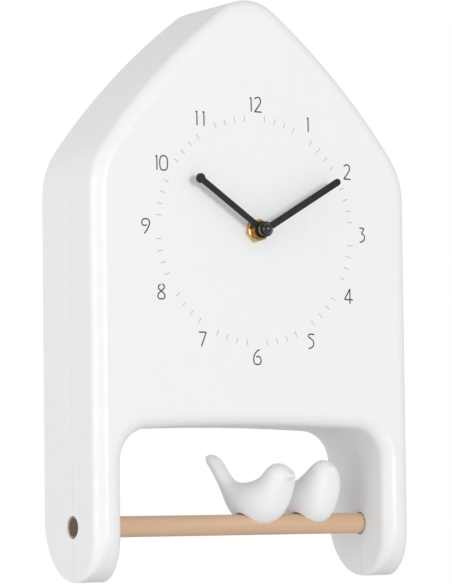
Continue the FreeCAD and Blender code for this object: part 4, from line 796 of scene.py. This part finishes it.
    def build(self) -> None:
        """Make the shell: two blocks, one cut from the other, then posts, ribs and holes."""
        shell = self.block(0.0, self.seam_y, self.rounding, "case_front")
        hollow = self.block(self.wall, self.seam_y + PAST, self.rounding - self.wall, "hollow")
        combine(shell, hollow, "DIFFERENCE")
        for post in self._posts():
            combine(shell, new_object("post", post), "UNION")
        combine(shell, joined("holes", self._holes()), "DIFFERENCE")
        smooth(shell, 35.0)
        self.dress(shell, WHITE_PLASTIC, "case", "white_plastic", ("front_shell",))

    def _screw_places(self) -> list[Point]:
        """Where the seven case screws are, in x and z."""
        pairs = self.side_posts + ((self.leg_centre, self.leg_post),)
        places = [(0.0, self.top_post)] + [(side * x, z) for x, z in pairs for side in (-1, 1)]
        return [(x, self.hub.z + z) for x, z in places]

    def _posts(self) -> list[Mesh]:
        """Screw posts and the ribs that clamp the perch."""
        start = self.front_y + self.wall - BLEND
        length = self.seam_y - start
        parts = [cylinder(self.post_radius, length, Vector((x, start, z)), 32)
                 for x, z in self._screw_places()]
        low, high = self.rod.z - self.rib_below, self.rod.z + self.rib_above
        for x in (-self.leg_centre, self.leg_centre):
            rib = [(x - self.rib_half, low), (x + self.rib_half, low),
                   (x + self.rib_half, high), (x - self.rib_half, high)]
            parts.append(plate(rib, start, self.seam_y))
        return parts

    def _holes(self) -> list[Mesh]:
        """The bush hole, screw bores and the perch's holes in both walls of each leg."""
        start = Vector((self.hub.x, self.front_y - PAST, self.hub.z))
        parts = [cylinder(self.bush_hole, 2 * self.wall, start, 64)]
        for x, z in self._screw_places():
            start = Vector((x, self.seam_y - self.post_bore_length, z))
            parts.append(cylinder(self.post_bore, self.post_bore_length + PAST, start, 24))
        for x in (-self.half_width - PAST, self.leg_inner - PAST):
            start = Vector((x, self.rod.y, self.rod.z))
            parts.append(cylinder(self.rod_hole, self.leg_thickness + 2 * PAST, start, 64, "X"))
        return parts


# ---------------------------------------------------------------- perch and birds
@dataclass
class Perch(Assembly):
    """The beech rod between the legs."""

    radius: float = 6.0 * MM
    chamfer: float = 0.6 * MM
    end_facing: float = 0.9     # faces turned at least this much along x are the cut ends, coloured as end grain with painted shade

    def build(self) -> None:
        """Turn the rod along x and give its cut ends a darker wood: partly end grain, partly painted shade
        of the leg holes.
        """
        low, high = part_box("perch_rod")
        length = high.x - low.x
        rim = self.radius - self.chamfer
        profile = [(0.0, 0.0), (rim, 0.0), (self.radius, self.chamfer),
                   (self.radius, length - self.chamfer), (rim, length), (0.0, length)]
        centre = Vector((low.x, (low.y + high.y) / 2, (low.z + high.z) / 2))
        rod = new_object("perch", turned(profile, centre, 96, "X"))
        self.dress(smooth(rod), BEECH, "case", "beech", ("perch_rod",))
        # the cut ends get the end grain colour with painted shade of the holes
        rod.data.materials.append(self.palette.get(SHADED_END_GRAIN))
        for face in rod.data.polygons:
            face.material_index = int(abs(face.normal.x) > self.end_facing)


@dataclass
class Section:
    """One ring of a bird in its side view: upper and lower point, half width and turn of the head."""

    upper: Point
    lower: Point
    half_width: float
    turn: float = 0.0


@dataclass
class Bird(Assembly):
    """A bird lofted through rings, astride the rod."""

    name: str = "bird"
    node: str = "large_bird"
    x: float = 0.0
    heading: float = 0.0
    sections: list[Section] = field(default_factory=list)
    points: int = 20
    neck: float = 13.0 * MM
    rod_radius: float = 6.05 * MM
    saddle_gap: float = 0.9 * MM
    groove_reach: float = 50.0 * MM

    def _ring(self, bm: Mesh, section: Section) -> list[bmesh.types.BMEdge]:
        """Add one ring.

        Args:
            bm: The bird's mesh.
            section: The ring's place and size.

        Returns:
            The ring's edges.
        """
        upper = Vector((section.upper[0], 0.0, section.upper[1])) * MM
        lower = Vector((section.lower[0], 0.0, section.lower[1])) * MM
        made = bmesh.ops.create_circle(bm, segments=self.points, radius=1.0)
        tall, wide = (upper - lower) / 2, Vector((0.0, section.half_width * MM, 0.0))
        across = wide.cross(tall).normalized()
        place = Matrix((tall, wide, across)).transposed().to_4x4()
        place.translation = (upper + lower) / 2
        neck = Matrix.Translation((self.neck, 0.0, 0.0))
        place = neck @ Matrix.Rotation(math.radians(-section.turn), 4, "Z") @ neck.inverted() @ place
        bmesh.ops.transform(bm, verts=made["verts"], matrix=place)
        edges = {edge for vert in made["verts"] for edge in vert.link_edges}
        return list(edges)

    def build(self) -> None:
        """Loft, smooth, set astride the rod and cut the groove for it."""
        bm = bmesh.new()
        rings = [self._ring(bm, section) for section in self.sections]
        for first, second in zip(rings, rings[1:]):
            bmesh.ops.bridge_loops(bm, edges=first + second)
        for ring in (rings[0], rings[-1]):
            bmesh.ops.contextual_create(bm, geom=ring)
        caps = [face for face in bm.faces if len(face.verts) == self.points]
        bmesh.ops.poke(bm, faces=caps)
        outward(bm)
        low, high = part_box("perch_rod")
        rod = (low + high) / 2
        turn = Matrix.Rotation(math.radians(-self.heading), 4, "Z")
        place = Matrix.Translation((self.x, rod.y, rod.z)) @ turn
        bmesh.ops.transform(bm, verts=bm.verts, matrix=place)
        thing = new_object(self.name, bm)
        subdivision = thing.modifiers.new("subdivision", "SUBSURF")
        subdivision.levels = 2
        subdivision.render_levels = 2
        apply_modifiers(thing)
        self._cut_groove(thing, rod)
        smooth(thing, 50.0, weighted=False)
        self.dress(thing, BIRD_WHITE, "case", "bird_white", (self.node,))

    def _cut_groove(self, thing: Thing, rod: Vector) -> None:
        """Cut the rod's groove and the small gap above it.

        Args:
            thing: The bird.
            rod: The middle of the rod.
        """
        gap = self.saddle_gap
        for radius, rise in ((self.rod_radius, 0.0), (self.rod_radius - gap, 2 * gap)):
            start = Vector((self.x - self.groove_reach, rod.y, rod.z + rise))
            groove = cylinder(radius, 2 * self.groove_reach, start, 96, "X")
            combine(thing, new_object("groove", groove), "DIFFERENCE")


LARGE_BIRD_RINGS = [
    Section((-30.6, 41.3), (-32.6, 40.3), 2.8),
    Section((-28.2, 41.2), (-33.4, 38.4), 5.0),
    Section((-24.2, 38.6), (-31.9, 35.6), 6.2),
    Section((-20.8, 33.0), (-28.4, 30.4), 6.4),
    Section((-17.4, 27.6), (-25.2, 24.6), 6.8),
    Section((-13.8, 24.9), (-22.6, 19.4), 8.0),
    Section((-9.4, 24.4), (-19.6, 12.2), 10.4),
    Section((-4.6, 25.0), (-14.6, 3.4), 12.6),
    Section((0.2, 26.4), (-4.6, -1.0), 13.9),
    Section((4.2, 28.6), (6.6, -0.5), 13.8, 2.0),
    Section((7.6, 33.0), (14.7, 4.3), 12.8, 6.0),
    Section((11.2, 35.8), (18.8, 12.8), 11.8, 10.0),
    Section((15.6, 35.6), (20.6, 19.6), 10.2, 14.0),
    Section((19.6, 33.6), (21.8, 23.6), 7.4, 18.0),
    Section((22.2, 31.0), (22.9, 26.2), 3.6, 20.0),
    Section((27.2, 28.2), (27.2, 27.4), 0.5, 20.0),
]
SMALL_BIRD_RINGS = [
    Section((-27.4, 16.6), (-27.9, 14.6), 2.4),
    Section((-26.0, 18.6), (-26.9, 12.8), 4.3),
    Section((-22.4, 20.6), (-24.2, 10.4), 6.2),
    Section((-17.4, 22.6), (-20.2, 6.8), 8.6),
    Section((-12.0, 24.6), (-15.2, 2.4), 11.4),
    Section((-6.8, 27.4), (-8.0, -1.0), 13.2),
    Section((-1.3, 31.6), (2.6, -1.3), 13.7),
    Section((3.0, 36.2), (10.8, 2.8), 12.8),
    Section((6.6, 37.9), (14.6, 11.4), 11.2, 2.0),
    Section((9.8, 37.3), (16.1, 19.2), 9.0, 4.0),
    Section((12.2, 35.6), (16.2, 26.4), 5.6, 6.0),
    Section((13.8, 34.2), (15.4, 30.6), 2.5, 8.0),
    Section((15.8, 33.1), (15.8, 32.3), 0.5, 8.0),
]


# ---------------------------------------------------------------- hands and centre stack
@dataclass
class Hand(Assembly):
    """A flat hand with a round boss, drawn towards twelve and turned to its angle."""

    name: str = "hand"
    node: str = "hour_hand"
    body: str = "hour"
    width: float = 3.5 * MM
    length: float = 49.4 * MM
    tip_radius: float = 2.85 * MM
    boss_radius: float = 5.0 * MM
    bore: float = 2.5 * MM
    clockwise: float = 304.6
    edge: float = 0.18 * MM
    drill_length: float = 4.0 * MM

    def build(self) -> None:
        """Cut the plate from its outline, drill it and soften its edges."""
        low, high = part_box(self.node)
        half = self.width / 2
        boss = math.degrees(math.asin(half / self.boss_radius))
        outline = arc_points((0.0, 0.0), self.boss_radius, 90 + boss, 450 - boss, 60)
        if self.tip_radius > half:
            tip = math.degrees(math.asin(half / self.tip_radius))
            outline += arc_points((0.0, self.length), self.tip_radius, -90 + tip, 270 - tip, 36)
        else:
            outline += arc_points((0.0, self.length), half, 0, 180, 24)
        hand = new_object(self.name, plate(outline, low.y, high.y))
        drill = cylinder(self.bore, self.drill_length, Vector((0.0, low.y - PAST, 0.0)), 48)
        combine(hand, new_object("drill", drill), "DIFFERENCE")
        hub = hub_point()
        turn = Matrix.Rotation(math.radians(self.clockwise), 4, "Y")
        hand.data.transform(Matrix.Translation((hub.x, 0.0, hub.z)) @ turn)
        rounded(hand, self.edge, 3, 60.0)
        self.dress(smooth(hand), BLACK_METAL, self.body, "black_metal", (self.node,))


@dataclass
class CentreStack(Assembly):
    """The brass nut and collet and the black cap on the hands' axis."""

    nut_radius: float = 7.1 * MM
    nut_thickness: float = 3.3 * MM
    nut_turn: float = 15.0
    collar_radius: float = 4.4 * MM
    bush_radius: float = 3.97 * MM
    groove_radius: float = 5.5 * MM
    collet_radius: float = 3.75 * MM
    nut_bevel: float = 0.8 * MM
    nut_bevel_run: float = 0.6 * MM
    nut_spare: float = 0.2 * MM
    collar_edge: float = 0.25 * MM
    groove_dip: float = 0.35 * MM
    groove_slope: float = 0.3 * MM
    pipe_radius: float = 2.5 * MM
    collet_edge: float = 0.2 * MM
    cap_radius: float = 3.35 * MM
    cap_rim: float = 0.7 * MM
    cap_bore: float = 1.6 * MM
    cap_bore_depth: float = 1.5 * MM

    def build(self) -> None:
        """Make the three pieces."""
        self.hub = hub_point()
        self._nut()
        self._collet()
        self._cap()

    def _nut(self) -> None:
        """A hexagon in common with a turned blank that has the chamfer, groove and collar."""
        low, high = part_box("hex_nut")
        depth = high.y - low.y
        face = depth - self.nut_thickness
        corner, collar, edge = self.nut_radius, self.collar_radius, self.collar_edge
        floor, blank_radius = face + self.groove_dip, corner + self.nut_spare
        blank = [
            (self.bush_radius, 0.0), (collar - edge, 0.0), (collar, edge), (collar, floor),
            (self.groove_radius - self.groove_slope, floor), (self.groove_radius, face),
            (corner - self.nut_bevel, face), (blank_radius, face + self.nut_bevel_run),
            (blank_radius, depth), (self.bush_radius, depth),
        ]
        nut = new_object("brass_nut", turned(blank, Vector((self.hub.x, low.y, self.hub.z)), 120))
        hexagon = [(self.hub.x + corner * math.cos(math.radians(self.nut_turn + 60 * k)),
                    self.hub.z + corner * math.sin(math.radians(self.nut_turn + 60 * k)))
                   for k in range(6)]
        prism = new_object("hexagon", plate(hexagon, low.y - PAST, high.y + PAST))
        combine(nut, prism, "INTERSECT")
        rounded(nut, 0.08 * MM, 2)
        self.dress(smooth(nut), BRASS, "case", "brass", ("hex_nut",))

    def _collet(self) -> None:
        """The ring between the two hands."""
        low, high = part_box("hour_collet")
        length, edge = high.y - low.y, self.collet_edge
        section = [
            (self.pipe_radius, 0.0), (self.collet_radius - edge, 0.0), (self.collet_radius, edge),
            (self.collet_radius, length - edge), (self.collet_radius - edge, length),
            (self.pipe_radius, length),
        ]
        ring = new_object("brass_collet", turned(section, Vector((self.hub.x, low.y, self.hub.z))))
        self.dress(smooth(ring), BRASS, "hour", "brass", ("hour_collet",))

    def _cap(self) -> None:
        """The domed cap nut over the end of the minute shaft."""
        low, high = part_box("cap_nut")
        height, bore, floor = high.y - low.y, self.cap_bore, high.y - low.y - self.cap_bore_depth
        rise = height - self.cap_rim
        ball = (self.cap_radius ** 2 + rise ** 2) / (2 * rise)
        spread = math.degrees(math.asin(self.cap_radius / ball))
        dome = [(x, -z) for x, z in arc_points((0.0, -ball), ball, 90, 90 - spread, 18)]
        dome[0] = (0.0, 0.0)
        section = dome + [(self.cap_radius, height), (bore, height), (bore, floor), (0.0, floor)]
        cap = new_object("cap", turned(section, Vector((self.hub.x, low.y, self.hub.z))))
        self.dress(smooth(cap, 50.0), GLOSS_BLACK, "minute", "black_metal", ("cap_nut",))


# ---------------------------------------------------------------- dial print
GLYPHS = {
    "0": [[(0.0, 1.0), (-0.20, 0.98), (-0.30, 0.74), (-0.31, 0.50), (-0.30, 0.26), (-0.20, 0.02), (0.0, 0.0),
           (0.20, 0.02), (0.30, 0.26), (0.31, 0.50), (0.30, 0.74), (0.20, 0.98), (0.0, 1.0)]],
    "1": [[(0.02, 1.0), (0.03, 0.5), (0.03, 0.0)], [(-0.09, 0.93), (-0.01, 0.96), (0.03, 0.99)]],
    "2": [[(-0.25, 0.90), (-0.14, 1.02), (0.16, 1.04), (0.27, 0.74), (0.12, 0.48), (-0.08, 0.22),
           (-0.26, 0.02)], [(-0.27, 0.01), (0.0, 0.02), (0.32, 0.0)]],
    "3": [[(-0.17, 0.97), (0.02, 0.99), (0.20, 0.93)], [(0.20, 0.93), (0.10, 0.74), (0.0, 0.56)],
          [(0.0, 0.56), (0.16, 0.52), (0.28, 0.34), (0.20, 0.10), (0.0, -0.02), (-0.17, -0.03)]],
    "4": [[(0.12, 1.02), (-0.10, 0.66), (-0.33, 0.28)], [(-0.34, 0.27), (0.0, 0.26), (0.36, 0.25)],
          [(0.12, 1.02), (0.12, 0.5), (0.12, -0.02)]],
    "5": [[(-0.10, 0.99), (0.08, 0.98), (0.30, 0.97)], [(-0.10, 0.99), (-0.17, 0.88), (-0.19, 0.80)],
          [(-0.19, 0.80), (0.0, 0.68), (0.24, 0.52), (0.26, 0.22), (0.08, 0.02), (-0.18, -0.03)]],
    "6": [[(0.20, 1.02), (0.02, 0.96), (-0.22, 0.70), (-0.32, 0.36), (-0.26, 0.04), (0.0, -0.04),
           (0.25, 0.04), (0.32, 0.30), (0.20, 0.52), (0.02, 0.56), (-0.10, 0.48)]],
    "7": [[(-0.30, 0.98), (0.0, 0.98), (0.29, 0.97)], [(0.29, 0.97), (0.10, 0.50), (-0.10, 0.0)]],
    "8": [[(-0.04, 0.97), (-0.20, 0.90), (-0.26, 0.70), (-0.06, 0.54), (0.20, 0.36), (0.30, 0.16),
           (0.18, -0.02), (0.0, -0.03), (-0.20, -0.01), (-0.31, 0.16), (-0.20, 0.38), (0.04, 0.56),
           (0.24, 0.72), (0.24, 0.92), (0.06, 1.0)]],
    "9": [[(-0.02, 0.56), (-0.22, 0.54), (-0.33, 0.72), (-0.26, 0.96), (0.0, 1.04), (0.26, 0.96),
           (0.32, 0.72), (0.20, 0.44), (0.04, 0.18), (-0.12, 0.0)],
          [(-0.02, 0.56), (0.04, 0.58), (0.07, 0.64)]],
}


@dataclass
class DialPrint(Assembly):
    """The twelve numerals and the minute track printed on the front face."""

    numeral_radius: float = 73.0 * MM
    numeral_height: float = 8.3 * MM
    stroke: float = 0.86 * MM
    digit_step: float = 0.56
    track_radius: float = 65.0 * MM
    tick_length: float = 3.5 * MM
    tick_width: float = 0.32 * MM
    film: float = 0.03 * MM

    def build(self) -> None:
        """Make both prints."""
        self.hub = hub_point()
        numerals = self._numerals()
        self.dress(smooth(numerals, 60.0, False), INK, "case", "black_plastic")
        ticks = joined("dial_ticks", [self._tick(minute) for minute in range(60) if minute % 5])
        self.dress(ticks, TICK_INK, "case", "black_plastic")

    def _numerals(self) -> Thing:
        """Draw the hours as rounded strokes and flatten them to a film of ink."""
        curve = bpy.data.curves.new("strokes", "CURVE")
        curve.dimensions = "3D"
        curve.bevel_depth = self.stroke / 2
        curve.bevel_resolution = 3
        curve.use_fill_caps = True
        curve.resolution_u = 8
        for hour in range(1, 13):
            turn = math.radians(30 * hour)
            text = str(hour)
            start = -self.digit_step * (len(text) - 1) / 2
            for place, digit in enumerate(text):
                for stroke in GLYPHS[digit]:
                    shift = start + self.digit_step * place
                    self._stroke(curve, turn, shift, stroke)
        drawn = bpy.data.objects.new("strokes", curve)
        bpy.context.scene.collection.objects.link(drawn)
        graph = bpy.context.evaluated_depsgraph_get()
        mesh = bpy.data.meshes.new_from_object(drawn.evaluated_get(graph))
        bpy.data.objects.remove(drawn)
        flatten = Matrix.Diagonal((1.0, 2 * self.film / self.stroke, 1.0, 1.0))
        mesh.transform(Matrix.Translation((0.0, self.hub.y, 0.0)) @ flatten)
        thing = bpy.data.objects.new("dial_numerals", mesh)
        bpy.context.scene.collection.objects.link(thing)
        return thing

    def _stroke(self, curve: bpy.types.Curve, turn: float, shift: float, stroke: list[Point]) -> None:
        """Add one stroke of one digit.

        Args:
            curve: The curve that takes it.
            turn: The hour's angle from twelve, clockwise.
            shift: The digit's place across the numeral, in heights.
            stroke: Its points, in heights.
        """
        centre_x = self.hub.x + self.numeral_radius * math.sin(turn)
        centre_z = self.hub.z + self.numeral_radius * math.cos(turn)
        spline = curve.splines.new("NURBS")
        spline.points.add(len(stroke) - 1)
        for point, (across, up) in zip(spline.points, stroke):
            x = centre_x + (across + shift) * self.numeral_height
            z = centre_z + (up - 0.5) * self.numeral_height
            point.co = (x, 0.0, z, 1.0)
        spline.order_u = 3
        spline.use_endpoint_u = True

    def _tick(self, minute: int) -> Mesh:
        """One thin mark of the minute track."""
        half, low = self.tick_width / 2, self.track_radius - self.tick_length / 2
        high = low + self.tick_length
        corners = [(-half, low), (half, low), (half, high), (-half, high)]
        bm = plate(corners, self.hub.y - self.film, self.hub.y + self.film)
        turn = Matrix.Rotation(math.radians(6 * minute), 4, "Y")
        place = Matrix.Translation((self.hub.x, 0, self.hub.z)) @ turn
        bmesh.ops.transform(bm, verts=bm.verts, matrix=place)
        return bm


# ---------------------------------------------------------------- carried-over nodes and stage
@dataclass
class InnerWorks(Assembly):
    """The nodes whose shapes stay as they are and get their finishes."""

    def build(self) -> None:
        """Give every carried-over node its material."""
        for finish, names in NODE_FINISH.items():
            for name in names:
                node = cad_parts[name]
                node.data.materials.clear()
                node.data.materials.append(self.palette.get(finish))
                LOG.info("%s: %s", name, finish.name)


@dataclass(frozen=True)
class Softbox:
    """A square area light: its name, place from the hands' axis, side and power in watts."""

    name: str
    offset: tuple[float, float, float]
    size: float
    power: float


KEY_LIGHT = Softbox("key_light", (0.15, -2.6, 0.25), 0.75, 24.0)
LEFT_LIGHT = Softbox("left_light", (-2.4, -0.1, 0.15), 1.6, 20.5)


@dataclass
class Stage:
    """Floor, sky, lights and camera."""

    palette: Palette
    floor_drop: float = 0.35
    floor_size: float = 5.0
    ambient: float = 0.60
    eye: tuple[float, float, float] = (-0.9646, -1.6283, -0.2514)
    right: tuple[float, float, float] = (0.8567, -0.5157, -0.0118)
    up: tuple[float, float, float] = (-0.0238, -0.0624, 0.9978)
    lens: float = 197.26

    def build(self) -> None:
        """Set the stage."""
        self._floor()
        self._sky()
        for box in (KEY_LIGHT, LEFT_LIGHT):
            self._hang(box)
        self._camera()

    def _floor(self) -> None:
        """A plain pale floor well below the clock."""
        bm = bmesh.new()
        bmesh.ops.create_grid(bm, x_segments=1, y_segments=1, size=self.floor_size / 2)
        bmesh.ops.translate(bm, verts=bm.verts, vec=(0.0, 0.0, CAD_BOX[0].z - self.floor_drop))
        floor = new_object("floor", bm)
        floor.data.materials.append(self.palette.get(FLOOR_WHITE))

    def _sky(self) -> None:
        """White all round, and a little dimmer as light than it looks."""
        world = bpy.data.worlds.new("studio")
        world.use_nodes = True
        tree = world.node_tree
        light = tree.nodes["Background"]
        light.inputs["Color"].default_value = (0.99, 0.995, 1.0, 1.0)
        light.inputs["Strength"].default_value = self.ambient
        seen = tree.nodes.new("ShaderNodeBackground")
        seen.inputs["Color"].default_value = (1.0, 1.0, 1.0, 1.0)
        path = tree.nodes.new("ShaderNodeLightPath")
        mix = tree.nodes.new("ShaderNodeMixShader")
        tree.links.new(path.outputs["Is Camera Ray"], mix.inputs["Fac"])
        tree.links.new(light.outputs["Background"], mix.inputs[1])
        tree.links.new(seen.outputs["Background"], mix.inputs[2])
        tree.links.new(mix.outputs["Shader"], tree.nodes["World Output"].inputs["Surface"])
        bpy.context.scene.world = world
        bpy.context.scene.view_settings.view_transform = "Standard"

    def _hang(self, box: Softbox) -> None:
        """Put up an area light that faces the hands' axis.

        Args:
            box: The light.
        """
        lamp = bpy.data.lights.new(box.name, "AREA")
        lamp.size = box.size
        lamp.energy = box.power
        thing = bpy.data.objects.new(box.name, lamp)
        offset = Vector(box.offset)
        thing.location = hub_point() + offset
        thing.rotation_euler = (-offset).to_track_quat("-Z", "Y").to_euler()
        bpy.context.scene.collection.objects.link(thing)

    def _camera(self) -> None:
        """A long lens, a little below the clock and to its left."""
        camera = bpy.data.cameras.new("camera")
        camera.lens = self.lens
        camera.sensor_fit = "AUTO"
        thing = bpy.data.objects.new("camera", camera)
        right, up = Vector(self.right).normalized(), Vector(self.up).normalized()
        back = right.cross(up).normalized()
        turn = Matrix((right, back.cross(right), back)).transposed().to_4x4()
        thing.matrix_world = Matrix.Translation(self.eye) @ turn
        bpy.context.scene.collection.objects.link(thing)
        bpy.context.scene.camera = thing


def main() -> None:
    """Build every sub-assembly in order."""
    logging.basicConfig(level=logging.INFO, format="%(name)s %(message)s")
    palette = Palette()
    Stage(palette).build()
    CaseFront(palette).build()
    Perch(palette).build()
    Bird(palette, name="large_bird_body", node="large_bird", x=17.0 * MM, heading=58.0,
         sections=LARGE_BIRD_RINGS).build()
    Bird(palette, name="small_bird_body", node="small_bird", x=55.0 * MM, heading=66.0,
         sections=SMALL_BIRD_RINGS).build()
    Hand(palette, name="hour_bar").build()
    Hand(palette, name="minute_bar", node="minute_hand", body="minute", width=4.0 * MM, length=57.0 * MM,
         tip_radius=2.0 * MM, boss_radius=4.3 * MM, bore=1.6 * MM, clockwise=59.4).build()
    CentreStack(palette).build()
    DialPrint(palette).build()
    InnerWorks(palette).build()


if __name__ == "__main__":
    main()
